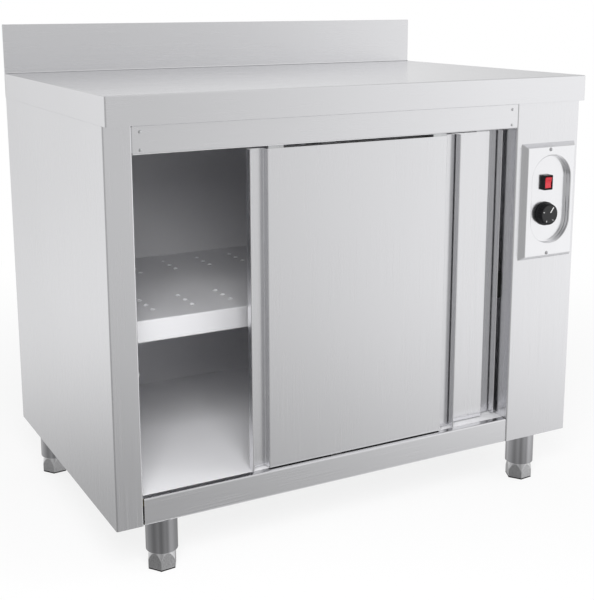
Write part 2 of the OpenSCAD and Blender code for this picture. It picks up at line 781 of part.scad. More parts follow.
// Angles on the left liner and on the partition that carry the shelf
module shelf_supports() color("silver") {
    h = support_t / 2;
    z = shelf_top - panel_t - h;
    along_y(shelf_y0 + support_in, shelf_y1 - support_in) {
        polygon(strip([[open_x0 + h, z - support_h], [open_x0 + h, z], [open_x0 + support_w, z]],
            support_t, bend_r));
        polygon(strip([[open_x1 - h, z - support_h], [open_x1 - h, z], [open_x1 - support_w, z]],
            support_t, bend_r));
    }
}

// ---------- legs and feet ----------

// Reinforcing plate on the base tray and the bolt that holds each leg
module leg_fixings() color("silver")
    for (p = leg_places) {
        z = z_base + panel_t;
        in_x = p[0] < 0 ? x_left + 2 * panel_t : x_right - 2 * panel_t;
        x0 = p[0] < 0 ? max(p[0] - fixing_w / 2, in_x) : p[0] - fixing_w / 2;
        x1 = p[0] < 0 ? p[0] + fixing_w / 2 : min(p[0] + fixing_w / 2, in_x);
        difference() {
            block([x0, max(p[1] - fixing_w / 2, body_y + post_return + slide_gap), z],
                [x1, p[1] + fixing_w / 2, z + fixing_t]);
            bar_z(z - cut, z + fixing_t + cut, p[0], p[1], bolt_r + running_fit);
        }
        bar_z(z_base - plug_t, z + fixing_t, p[0], p[1], bolt_r);
        translate([p[0], p[1], z + fixing_t])
            cylinder(h = bolt_head_h, d = bolt_head_af / cos(30), $fn = 6);
    }

// Leg tube with a plug at its top for the bolt and a threaded insert at its foot
module leg(p) color(bright) translate([p[0], p[1], 0]) {
    difference() {
        bar_z(foot_h, z_base, 0, 0, leg_r);
        bar_z(foot_h + insert_t, z_base - plug_t, 0, 0, leg_r - leg_wall);
        bar_z(foot_h - cut, foot_h + insert_t + cut, 0, 0, stud_r + running_fit);
        bar_z(z_base - plug_t - cut, z_base + cut, 0, 0, bolt_r + running_fit);
    }
}
module leg_front_left() leg(leg_places[0]);
module leg_front_right() leg(leg_places[1]);
module leg_rear_left() leg(leg_places[2]);
module leg_rear_right() leg(leg_places[3]);

// Hexagonal levelling foot with chamfered top corners, its stud and its rubber pad
module foot(p) color("silver") translate([p[0], p[1], 0]) rotate(foot_turn) {
    top = foot_h - foot_rest_gap;
    intersection() {
        translate([0, 0, pad_t]) cylinder(h = top - pad_t, r = foot_corner_r, $fn = 6);
        union() {
            bar_z(0, pad_t + foot_edge_h, 0, 0, foot_corner_r + 1);
            translate([0, 0, pad_t + foot_edge_h])
                cylinder(h = top - pad_t - foot_edge_h, r1 = foot_corner_r, r2 = foot_top_r);
        }
    }
    bar_z(top - cut, stud_top, 0, 0, stud_r);
    cylinder(h = pad_t, r = foot_corner_r, $fn = 6);
}
module foot_front_left() foot(leg_places[0]);
module foot_front_right() foot(leg_places[1]);
module foot_rear_left() foot(leg_places[2]);
module foot_rear_right() foot(leg_places[3]);

// ---------- controls ----------

// Block with four slanted sides, drawn in by d
module raised_form(d) {
    x0 = plate_x - plate_w / 2 + d;
    x1 = plate_x + plate_w / 2 - d;
    z0 = plate_z0 + d;
    z1 = plate_z1 - d;
    y0 = plate_y + d;
    y1 = d > 0 ? body_y + cut : body_y;
    s = plate_slope;
    run = d > 0 ? s * (y1 - y0) / (body_y - plate_y) - s * cut / plate_rise : s;
    out = d > 0 ? s * cut / plate_rise : 0;
    intersection() {
        along_z(z0 - 2 * cut, z1 + 2 * cut) polygon([[x0 - out, y1], [x0 + run, y0], [x1 - run, y0],
            [x1 + out, y1]]);
        along_x(x0 - 2 * cut, x1 + 2 * cut) polygon([[y1, z0 - out], [y0, z0 + run], [y0, z1 - run],
            [y1, z1 + out]]);
    }
}

module control_plate() color(bright) difference() {
    union() {
        difference() {
            raised_form(0);
            raised_form(plate_t);
        }
        stadium(plate_y, body_y, recess_x, recess_z, recess_w + 2 * plate_t, recess_h + 2 * plate_t);
    }
    stadium(plate_y - cut, recess_y, recess_x, recess_z, recess_w, recess_h);
    // openings for the switch, the knob's shaft and the two screws
    block([controls_x - switch_w / 2 + switch_body_in, recess_y - cut, switch_z - switch_h / 2 + switch_body_in],
        [controls_x + switch_w / 2 - switch_body_in, body_y + cut, switch_z + switch_h / 2 - switch_body_in]);
    bar_y(recess_y - cut, body_y + cut, controls_x, knob_z, shaft_hole_r);
    for (z = [plate_z0 + plate_screw_in, plate_z1 - plate_screw_in])
        bar_y(plate_y - cut, plate_y + plate_t + cut, controls_x, z, plate_screw_r + running_fit);
}

module control_plate_screws() color("silver")
    for (z = [plate_z0 + plate_screw_in, plate_z1 - plate_screw_in]) difference() {
        sink = sqrt(plate_screw_dome_r * plate_screw_dome_r - plate_screw_head_r * plate_screw_head_r);
        union() {
            intersection() {
                translate([controls_x, plate_y + sink, z]) sphere(r = plate_screw_dome_r);
                bar_y(plate_y - 3, plate_y, controls_x, z, plate_screw_head_r);
            }
            bar_y(plate_y, body_y + panel_t + plate_screw_reach, controls_x, z, plate_screw_r);
        }
        // crossed driver slots
        for (turn = [0, 90]) translate([controls_x, plate_y - 1.6, z]) rotate([0, turn, 0])
            cube([4.4, 1.8, 0.9], center = true);
    }

module switch_housing() color("black") {
    x = controls_x;
    y0 = recess_y - switch_rise;
    w = switch_w / 2;
    h = switch_h / 2;
    in = switch_body_in + seat_gap;
    difference() {
        union() {
            block([x - w, y0, switch_z - h], [x + w, recess_y, switch_z + h]);
            block([x - w + in, recess_y, switch_z - h + in],
                [x + w - in, recess_y + switch_body_d, switch_z + h - in]);
        }
        // well for the rocker and the bore for its pivot
        block([x - w + switch_frame, y0 - cut, switch_z - h + switch_frame],
            [x + w - switch_frame, recess_y - rocker_gap, switch_z + h - switch_frame]);
        bar_x(x - w + switch_frame - pin_reach, x + w - switch_frame + pin_reach, rocker_y, switch_z,
            rocker_pin_r + running_fit);
    }
}

// Rocker on a pivot pin across the housing, pressed in at its foot
module switch_rocker() color("red")
    translate([controls_x, rocker_y, switch_z]) rotate([rocker_tilt, 0, 0]) {
        h = rocker_h / 2;
        along_x(-rocker_w / 2, rocker_w / 2) polygon([[2.2, -h / 2], [-1, 0.8 - h], [-4.6, 1 - h],
            [-3.4, 0], [-4.6, h - 1], [-1, h - 0.8], [2.2, h / 2]]);
        w = switch_w / 2 - switch_frame + pin_reach - seat_gap;
        bar_x(-w, w, 0, 0, rocker_pin_r);
    }

module knob() color("black") difference() {
    y0 = knob_y - knob_len;
    grip_r = knob_r - knob_chamfer;
    union() {
        // skirt and slightly tapered grip
        bar_y(knob_y - knob_skirt, knob_y, controls_x, knob_z, knob_r);
        translate([controls_x, knob_y - knob_skirt, knob_z]) rotate([90, 0, 0])
            cylinder(h = knob_len - knob_skirt - knob_chamfer, r1 = grip_r, r2 = grip_r - knob_taper);
        translate([controls_x, y0 + knob_chamfer, knob_z]) rotate([90, 0, 0])
            cylinder(h = knob_chamfer, r1 = grip_r - knob_taper, r2 = grip_r - knob_taper - knob_chamfer);
    }
    bar_y(y0 + knob_cap, knob_y + cut, controls_x, knob_z, shaft_r + running_fit);
    // grip flutes round the edge
    for (k = [0:flutes - 1]) translate([controls_x, 0, knob_z]) rotate([0, 360 * k / flutes, 0])
        bar_y(y0 + 2 * knob_chamfer, knob_y - knob_skirt, 0, grip_r, flute_r);
}

module thermostat_shaft() color("silver")
    bar_y(knob_y - knob_len + knob_cap + seat_gap, body_y + panel_t + shaft_reach, controls_x, knob_z,
        shaft_r);

module thermostat() color("ivory") difference() {
    w = thermostat_w / 2;
    union() {
        block([controls_x - w, body_y, knob_z - w], [controls_x + w, body_y + thermostat_d, knob_z + w]);
        bar_y(body_y + thermostat_d, body_y + thermostat_d + 4, controls_x, knob_z - nozzle_drop,
            nozzle_r);
    }
    bar_y(body_y - cut, body_y + panel_t + shaft_reach + slide_gap, controls_x, knob_z,
        shaft_r + running_fit);
}

// Capillary from the thermostat to the sensing bulb, clipped to the partition beside the duct
module thermostat_probe() color("peru") {
    y0 = body_y + thermostat_d + 4;
    z0 = knob_z - nozzle_drop;
    top = duct_z1 + bulb_len;
    clip_z = duct_z1 + bulb_len / 2;
    rod([[controls_x, y0, z0], [controls_x, y0 + probe_bend, z0], [probe_x, y0 + probe_bend, z0],
        [probe_x, probe_y, z0], [probe_x, probe_y, top]], capillary_r);
    bar_z(duct_z1, top, probe_x, probe_y, bulb_r);
    block([duct_x0, probe_y - clip_w / 2, clip_z - 6], [duct_x0 + 2, probe_y + clip_w / 2, clip_z + 6]);
    block([duct_x0, probe_y - 2, clip_z - 6], [probe_x, probe_y + 2, clip_z + 6]);
}

// ---------- heater and fan ----------

// Sheet duct on the column's side of the partition, round the fan and the outlet slots
module air_duct() color(steel) difference() {
    block([duct_x0, fan_y - duct_half, duct_z0], [duct_x1, fan_y + duct_half, duct_z1]);
    block([duct_x0 - cut, fan_y - duct_half + panel_t, duct_z0 + panel_t],
        [duct_x1 - panel_t, fan_y + duct_half - panel_t, duct_z1 - panel_t]);
    bar_x(duct_x1 - panel_t - cut, duct_x1 + cut, fan_y, axis_z, motor_boss_r + running_fit);
    for (side = [-1, 1])
        bar_x(duct_x1 - panel_t - cut, duct_x1 + cut, fan_y + side * terminal_out,
            axis_z + element_top, heater_tube_r + running_fit);
}

// Ring-shaped heating element round the impeller, open at its top, with two legs through the duct
module heater_element() color("dimgray") {
    difference() {
        translate([element_x, fan_y, axis_z]) rotate([0, 90, 0]) rotate_extrude()
            translate([heater_ring_r, 0]) circle(r = heater_tube_r);
        block([element_x - 2 * heater_tube_r, fan_y - terminal_out, axis_z],
            [element_x + 2 * heater_tube_r, fan_y + terminal_out, axis_z + 2 * heater_ring_r]);
    }
    for (side = [-1, 1]) {
        y = fan_y + side * terminal_out;
        z = axis_z + element_top;
        bar_x(element_x - heater_tube_r, duct_x1 + element_leg, y, z, heater_tube_r);
        bar_x(duct_x1 + element_leg, duct_x1 + element_leg + element_pin, y, z, heater_tube_r / 3);
    }
}

module fan_motor() color("slategray") difference() {
    x0 = duct_x1 - panel_t - 2;
    x1 = duct_x1 + motor_boss_len;
    union() {
        bar_x(x0, x1, fan_y, axis_z, motor_boss_r);
        bar_x(x1, x1 + motor_len, fan_y, axis_z, motor_r);
        bar_x(x1 + motor_len, x1 + motor_len + motor_cap_len, fan_y, axis_z, motor_cap_r);
        // feet that bolt the motor to the duct
        for (side = [-1, 1])
            block([duct_x1, fan_y + side * motor_foot - 5, axis_z - 5],
                [x1, fan_y + side * motor_foot + 5, axis_z + 5]);
    }
    bar_x(x0 - cut, x1 + fan_shaft_reach + slide_gap, fan_y, axis_z, fan_shaft_r + running_fit);
}

// Radial impeller with its hub, back plate and shaft
module fan_impeller() color("silver") {
    bar_x(impeller_x0, impeller_x1 + 2, fan_y, axis_z, hub_r);
    bar_x(impeller_x1 - disc_t, impeller_x1, fan_y, axis_z, impeller_r);
    bar_x(impeller_x1, duct_x1 + motor_boss_len + fan_shaft_reach, fan_y, axis_z, fan_shaft_r);
    for (k = [0:blades - 1]) translate([0, fan_y, axis_z]) rotate([360 * k / blades, 0, 0])
        block([impeller_x0, hub_r - 1, -blade_t / 2], [impeller_x1 - disc_t / 2, impeller_r, blade_t / 2]);
}

// ---------- supply side ----------

module terminal_block() color("ivory") difference() {
    x0 = gland_x - terminal_w / 2;
    block([x0, terminal_y, terminal_z],
        [x0 + terminal_w, terminal_y + terminal_d, terminal_z + terminal_h]);
    for (k = [0:3])
        bar_z(terminal_z + terminal_h - 8, terminal_z + terminal_h + cut,
            x0 + terminal_w * (k + 0.5) / 4, terminal_y + terminal_d / 2, terminal_hole_r);
}

// Wires from the terminal block up the column to the switch
module wiring_loom() color("dimgray") {
    x = gland_x;
    y = terminal_y + terminal_d / 2;
    z = terminal_z + terminal_h;
    back = recess_y + switch_body_d;
    rod([[x, y, z], [x, y, z + loom_rise], [loom_x, y, z + loom_rise], [loom_x, y, switch_z],
        [loom_x, back + loom_rise, switch_z], [controls_x, back + loom_rise, switch_z],
        [controls_x, back, switch_z]], loom_r);
}

// Cable gland through the back panel, with a lock nut inside and a dome nut outside
module cable_gland() color("dimgray") difference() {
    y1 = back_y + panel_t + nut_t;
    union() {
        bar_y(back_y - gland_in, y1, gland_x, gland_z, gland_r);
        hex_y(back_y - nut_t, back_y);
        hex_y(back_y + panel_t, y1);
        translate([gland_x, y1, gland_z]) rotate([-90, 0, 0])
            cylinder(h = dome_len, r1 = nut_af / 2 - 1, r2 = gland_r - 1);
    }
    bar_y(back_y - gland_in - cut, y1 + dome_len + cut, gland_x, gland_z, gland_bore_r);
}
module hex_y(y0, y1) translate([gland_x, y1, gland_z]) rotate([90, 0, 0])
    cylinder(h = y1 - y0, d = nut_af / cos(30), $fn = 6);

// ---------- doors ----------

// Centre line of one half of a door's front skin, seen from above: hemmed lip, channel, face
function door_half(m) = let (h = door_sheet_t / 2)
    [for (p = [[lip_t - h, lip_set + lip_hem], [lip_t - h, lip_set + h], [h, lip_set + h],
        [h, pull_floor + h], [pull_w, pull_floor + h], [pull_w, h]])
        m > 0 ? p : [door_w - p[0], p[1]]];

function door_line() = let (a = door_half(1), b = reversed(door_half(-1)),
    r = (lip_t - door_sheet_t) / 2 - 0.25)
    [a[0], each rounded(a, 1, r), each rounded(a, 2, r), each rounded(a, 3, fold_r),
        each rounded(a, 4, fold_r), each rounded([a[4], a[5], b[0]], 1, fold_r),
        each rounded([a[5], b[0], b[1]], 1, fold_r), each rounded(b, 1, fold_r),
        each rounded(b, 2, fold_r), each rounded(b, 3, r), each rounded(b, 4, r), b[5]];

module door_skin(x, y) color(bright) translate([x, y, 0]) along_z(door_z0, door_z1)
    polygon(concat(beside(door_line(), door_sheet_t / 2),
        reversed(beside(door_line(), -door_sheet_t / 2))));

module door_back(x, y) color(steel) translate([x, y, 0])
    block([door_sheet_t, door_t - back_skin_t, door_z0], [door_w - door_sheet_t, door_t, door_z1]);

// Two hanger plates behind the door's face, each with the collared axle of its roller
module door_hangers(x, y) color("silver") translate([x, y, 0])
    for (mid = [hanger_mid, door_w - hanger_mid]) {
        block([mid - hanger_w / 2, hanger_front, door_z1 - hanger_reach],
            [mid + hanger_w / 2, hanger_back, hanger_top]);
        bar_y(hanger_back, roller_front - running_fit, mid, roller_z, spacer_r);
        bar_y(hanger_back, roller_back + running_fit, mid, roller_z, axle_r);
        bar_y(roller_back + running_fit, roller_back + running_fit + collar_t, mid, roller_z, collar_r);
    }

module roller(x, y, mid) color("whitesmoke") difference() {
    bar_y(y + roller_front, y + roller_back, x + mid, roller_z, roller_r);
    bar_y(y + roller_front - cut, y + roller_back + cut, x + mid, roller_z, axle_r + running_fit);
}

module front_door_skin() door_skin(front_door_x, front_door_y);
module front_door_back() door_back(front_door_x, front_door_y);
module front_door_hangers() door_hangers(front_door_x, front_door_y);
module front_roller_left() roller(front_door_x, front_door_y, hanger_mid);
module front_roller_right() roller(front_door_x, front_door_y, door_w - hanger_mid);
module rear_door_skin() door_skin(rear_door_x, rear_door_y);
module rear_door_back() door_back(rear_door_x, rear_door_y);
module rear_door_hangers() door_hangers(rear_door_x, rear_door_y);
module rear_roller_left() roller(rear_door_x, rear_door_y, hanger_mid);
module rear_roller_right() roller(rear_door_x, rear_door_y, door_w - hanger_mid);

worktop();
worktop_board();
top_crossbars();
left_side_panel();
left_liner();
left_insulation();
right_side_panel();
column_front();
partition();
rear_panel();
rear_liner();
rear_insulation();
ceiling_liner();
ceiling_insulation();
floor_liner();
floor_insulation();
base_tray();
bottom_rail();
header_rail();
header_rivets();
top_track();
jamb_bumper();
door_buffers();
floor_guide();
shelf();
shelf_supports();
leg_fixings();
leg_front_left();
leg_front_right();
leg_rear_left();
leg_rear_right();
control_plate();
control_plate_screws();
switch_housing();
thermostat();
thermostat_probe();
air_duct();
heater_element();
fan_motor();
terminal_block();
wiring_loom();
cable_gland();
front_door_skin();
front_door_back();
front_door_hangers();
front_roller_left();
front_roller_right();
rear_door_skin();
rear_door_back();
rear_door_hangers();
rear_roller_left();
rear_roller_right();
knob();
thermostat_shaft();
switch_rocker();
fan_impeller();
foot_front_left();
foot_front_right();
foot_rear_left();
foot_rear_right();
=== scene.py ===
"""Finished look of a plate warmer cabinet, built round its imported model.

Lengths are in millimetres, in the frame of the model: X runs to the right, Y to the back and Z up.
A shape is gathered as whole arrays of points, and ``Shape.to_object`` turns it into metres.
"""
from __future__ import annotations

import logging
from dataclasses import dataclass, field
from enum import Enum
from math import radians
from typing import Sequence

import bmesh
import bpy
import numpy as np
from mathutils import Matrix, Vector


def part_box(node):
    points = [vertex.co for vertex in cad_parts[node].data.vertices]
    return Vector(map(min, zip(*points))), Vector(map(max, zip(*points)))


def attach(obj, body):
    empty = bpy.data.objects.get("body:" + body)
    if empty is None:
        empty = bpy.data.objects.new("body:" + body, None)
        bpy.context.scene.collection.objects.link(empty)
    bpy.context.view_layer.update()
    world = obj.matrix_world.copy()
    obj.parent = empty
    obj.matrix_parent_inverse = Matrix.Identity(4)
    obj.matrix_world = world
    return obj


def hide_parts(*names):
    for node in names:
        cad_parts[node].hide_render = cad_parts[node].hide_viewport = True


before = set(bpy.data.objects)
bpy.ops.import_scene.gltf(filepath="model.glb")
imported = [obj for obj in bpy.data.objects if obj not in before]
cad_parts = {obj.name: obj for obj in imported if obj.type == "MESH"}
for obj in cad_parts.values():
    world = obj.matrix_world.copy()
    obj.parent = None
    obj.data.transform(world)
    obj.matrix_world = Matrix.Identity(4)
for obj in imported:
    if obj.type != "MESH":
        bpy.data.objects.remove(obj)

log = logging.getLogger("plate_warmer")
Array = np.ndarray
MM = 0.001
FULL_TURN = 2 * np.pi
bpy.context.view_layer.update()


class Grain(Enum):
    """Direction of the brushing on a sheet, as noise cycles per metre along each axis."""

    ALONG_X = (5.0, 700.0, 700.0)
    ALONG_Z = (700.0, 700.0, 5.0)


class Along(Enum):
    """Axis that an outline is carried along, as the places of its two own axes and the axis."""

    X = (1, 2, 0)
    Y = (0, 2, 1)
    Z = (0, 1, 2)


class Slot(Enum):
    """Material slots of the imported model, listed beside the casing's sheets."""

    STEEL = "stainless_steel"
    GALVANISED = "galvanised_steel"
    RUBBER = "black_rubber"
    NYLON = "white_nylon"
    BLACK_PLASTIC = "black_plastic"
    RED_PLASTIC = "red_plastic"
    ALUMINIUM = "cast_aluminium"


# ---------- outlines and surfaces ----------


def box_of(node: str) -> tuple[Array, Array]:
    """Lowest and highest corners of a node of the model, in millimetres.

    Args:
        node: name of the node.

    Returns:
        The two corners.
    """
    low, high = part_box(node)
    return np.array(low) / MM, np.array(high) / MM


def unit(v: Array) -> Array:
    """Vectors of length one along the rows of ``v``."""
    return v / np.linalg.norm(v, axis=-1, keepdims=True)


def rounded(points: Sequence[Sequence[float]], radius: float | Sequence[float], steps: int = 8) -> Array:
    """Rounds the inner corners of an open path.

    At each corner the arc's centre lies on the bisector, at radius / sin(half the corner's angle),
    and the arc runs between the feet of the centre on the corner's two legs.

    Args:
        points: corners of the path.
        radius: radius of the arcs, or one radius for each inner corner.
        steps: flats in an arc.

    Returns:
        Points of the rounded path.
    """
    p = np.asarray(points, float)
    a, b = unit(p[:-2] - p[1:-1]), unit(p[2:] - p[1:-1])
    half = np.arccos(np.clip((a * b).sum(1), -1, 1)) / 2
    r = np.broadcast_to(radius, half.shape).astype(float)
    centre = p[1:-1] + unit(a + b) * (r / np.sin(half))[:, None]
    reach = (r / np.tan(half))[:, None]
    start, end = p[1:-1] + a * reach - centre, p[1:-1] + b * reach - centre
    first = np.arctan2(start[:, 1], start[:, 0])
    sweep = (np.arctan2(end[:, 1], end[:, 0]) - first + np.pi) % FULL_TURN - np.pi
    turn = first[:, None] + sweep[:, None] * np.linspace(0, 1, steps + 1)
    arcs = centre[:, None] + r[:, None, None] * np.stack([np.cos(turn), np.sin(turn)], -1)
    return np.vstack([p[:1], arcs.reshape(-1, 2), p[-1:]])


def beside(path: Array, distance: float) -> Array:
    """Path moved sideways to its left: each point goes along the mean of its two normals, divided by
    the cosine of the half turn, so that the moved legs keep their distance.

    Args:
        path: points of an open path.
        distance: how far the path moves.

    Returns:
        The moved points.
    """
    legs = unit(np.diff(path, axis=0))
    before, after = np.vstack([legs[:1], legs]), np.vstack([legs, legs[-1:]])
    mid = unit(before + after)
    normal = np.stack([-mid[:, 1], mid[:, 0]], -1)
    side = np.stack([-before[:, 1], before[:, 0]], -1)
    return path + normal * (distance / (normal * side).sum(1))[:, None]


def rounded_box_loop(width: float, height: float, radius: float, steps: int = 6) -> Array:
    """Closed outline of a rectangle about the origin with quarter-circle corners.

    Args:
        width: size along the first axis.
        height: size along the second axis.
        radius: corner radius.
        steps: flats in a corner.

    Returns:
        Points of the loop, counted from the right side upwards.
    """
    corner = np.array([[1, 1], [-1, 1], [-1, -1], [1, -1]]) * [width / 2 - radius, height / 2 - radius]
    turn = np.arange(4)[:, None] * np.pi / 2 + np.linspace(0, np.pi / 2, steps + 1)
    return (corner[:, None] + radius * np.stack([np.cos(turn), np.sin(turn)], -1)).reshape(-1, 2)


def slot_loop(width: float, height: float, angles: Array) -> Array:
    """Round-ended upright outline, met by rays from its middle.

    A ray meets the straight sides at x = width / 2 or, beyond their ends, the end circle: its length
    t solves (t cos)² + (t sin - c)² = r² with c the circle's centre.

    Args:
        width: width of the outline, twice the radius of its ends.
        height: full height.
        angles: directions of the rays.

    Returns:
        One point for each ray.
    """
    r, c = width / 2, (height - width) / 2
    cos, sin = np.cos(angles), np.sin(angles)
    side = r / np.maximum(np.abs(cos), 1e-9)
    s = np.abs(sin) * c
    end = s + np.sqrt(np.maximum(s * s - c * c + r * r, 0))
    length = np.where(np.abs(sin) * side <= c, side, end)
    return np.stack([length * cos, length * sin], -1)


class Shape:
    """Grids of points in millimetres that are gathered into one mesh."""

    def __init__(self) -> None:
        """Starts with no points and no faces."""
        self.points: list[Array] = []
        self.faces: list[list[int]] = []
        self.count = 0

    def add(self, points: Array) -> Array:
        """Adds points to the mesh.

        Args:
            points: array of any shape whose last axis holds X, Y and Z.

        Returns:
            Their numbers, in the shape of the array.
        """
        numbers = self.count + np.arange(points[..., 0].size).reshape(points.shape[:-1])
        self.points.append(points.reshape(-1, 3))
        self.count += numbers.size
        return numbers

    def grid(self, points: Array, wrap_u: bool = False, wrap_v: bool = False) -> Array:
        """Adds a grid of four-sided faces.

        Args:
            points: points of the grid, rows by columns by three.
            wrap_u: joins the last row to the first.
            wrap_v: joins the last column to the first.

        Returns:
            The points' numbers.
        """
        numbers = self.add(points)
        a = np.vstack([numbers, numbers[:1]]) if wrap_u else numbers
        a = np.hstack([a, a[:, :1]]) if wrap_v else a
        self.faces += np.stack([a[:-1, :-1], a[1:, :-1], a[1:, 1:], a[:-1, 1:]], -1).reshape(-1, 4).tolist()
        return numbers

    def cap(self, numbers: Array) -> None:
        """Closes a loop with one flat face."""
        self.faces.append(numbers.ravel().tolist())

    def ladder(self, left: Array, right: Array) -> None:
        """Joins two rows of points with four-sided faces."""
        self.faces += np.stack([left[:-1], left[1:], right[1:], right[:-1]], -1).tolist()

    def loft(self, loops: Array, start: bool = True, end: bool = True) -> Array:
        """Adds closed loops joined one to the next, with flat ends.

        Args:
            loops: points, loops by points by three.
            start: closes the first loop.
            end: closes the last loop.

        Returns:
            The points' numbers.
        """
        numbers = self.grid(loops, wrap_v=True)
        if start:
            self.cap(numbers[0])
        if end:
            self.cap(numbers[-1])
        return numbers

    def strip(self, path: Array, thickness: float, along: Along, start: float, end: float) -> None:
        """Adds folded sheet: an outline made of the path moved half a thickness to each side, carried
        straight from start to end.

        Args:
            path: centre line of the sheet.
            thickness: thickness of the sheet.
            along: axis that the outline is carried along.
            start: lowest place on that axis.
            end: highest place on that axis.
        """
        left, right = beside(path, thickness / 2), beside(path, -thickness / 2)
        outline = np.vstack([left, right[::-1]])
        numbers = self.prism(outline, along, start, end, capped=False)
        n = len(path)
        for row in numbers:
            self.ladder(row[:n], row[:n - 1:-1])

    def prism(self, outline: Array, along: Along, start: float, end: float, capped: bool = True) -> Array:
        """Adds a closed outline carried straight along an axis.

        Args:
            outline: points of the outline on its own two axes.
            along: axis that it is carried along.
            start: lowest place on that axis.
            end: highest place on that axis.
            capped: closes both ends.

        Returns:
            The points' numbers, two rows.
        """
        u, v, w = along.value
        points = np.zeros((2, len(outline), 3))
        points[:, :, u], points[:, :, v] = outline[:, 0], outline[:, 1]
        points[:, :, w] = [[start], [end]]
        return self.loft(points, capped, capped)

    def turned(self, profile: Array, centre: Sequence[float], axis: Sequence[float],
               columns: int = 64, ring: bool = False) -> Array:
        """Adds a surface of revolution: a profile point (r, h) goes to centre + h axis + r (cos a, sin a)
        on the two directions square to the axis.

        Args:
            profile: points (radius, height).
            centre: foot of the axis.
            axis: direction of the height.
            columns: faces round the axis.
            ring: joins the last profile point to the first.

        Returns:
            The points' numbers.
        """
        w = unit(np.asarray(axis, float))
        e1 = unit(np.cross(w, [0.0, 0.0, 1.0] if abs(w[2]) < 0.9 else [0.0, 1.0, 0.0]))
        e2 = np.cross(w, e1)
        a = np.linspace(0, FULL_TURN, columns, endpoint=False)[None, :, None]
        r, h = profile[:, 0][:, None, None], profile[:, 1][:, None, None]
        points = np.asarray(centre, float) + h * w + r * (np.cos(a) * e1 + np.sin(a) * e2)
        return self.grid(points, wrap_u=ring, wrap_v=True)

    def to_object(self, name: str, sharp: float = 32.0) -> bpy.types.Object:
        """Makes the mesh, with its doubles merged and its faces outwards.

        Args:
            name: name of the new object.
            sharp: angle in degrees from which an edge stays sharp.

        Returns:
            The object, whose place is in its mesh.
        """
        mesh = bpy.data.meshes.new(name)
        mesh.from_pydata(np.vstack(self.points) * MM, [], self.faces)
        return finish_mesh(mesh, name, sharp)


def finish_mesh(mesh: bpy.types.Mesh, name: str, sharp: float, turn_out: bool = True) -> bpy.types.Object:
    """Merges doubles, turns the faces out, and shades the mesh smooth between its sharp edges.

    Args:
        mesh: mesh in metres.
        name: name of the new object.
        sharp: angle in degrees from which an edge stays sharp.
        turn_out: recalculates the faces' directions.

    Returns:
        The object, whose normals follow its large faces.
    """
    work = bmesh.new()
    work.from_mesh(mesh)
    bmesh.ops.remove_doubles(work, verts=work.verts, dist=2e-6)
    bmesh.ops.dissolve_degenerate(work, edges=work.edges, dist=1e-7)
    if turn_out:
        bmesh.ops.recalc_face_normals(work, faces=work.faces)
    work.to_mesh(mesh)
    work.free()
    if "custom_normal" in mesh.attributes:
        mesh.attributes.remove(mesh.attributes["custom_normal"])
    mesh.shade_smooth()
    mesh.set_sharp_from_angle(angle=radians(sharp))
    obj = bpy.data.objects.new(name, mesh)
    bpy.context.scene.collection.objects.link(obj)
    weighted = obj.modifiers.new("even_flats", "WEIGHTED_NORMAL")
    weighted.keep_sharp = True
    return obj


def smooth_copy(node: str, sharp: float = 32.0) -> bpy.types.Object:
    """Copies a node of the model, merged and smooth over its bends.

    Args:
        node: name of the node.
        sharp: angle in degrees from which an edge stays sharp.

    Returns:
        The copy.
    """
    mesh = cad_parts[node].data.copy()
    mesh.materials.clear()
    return finish_mesh(mesh, f"{node}_finished", sharp, turn_out=False)


# ---------- finishes ----------


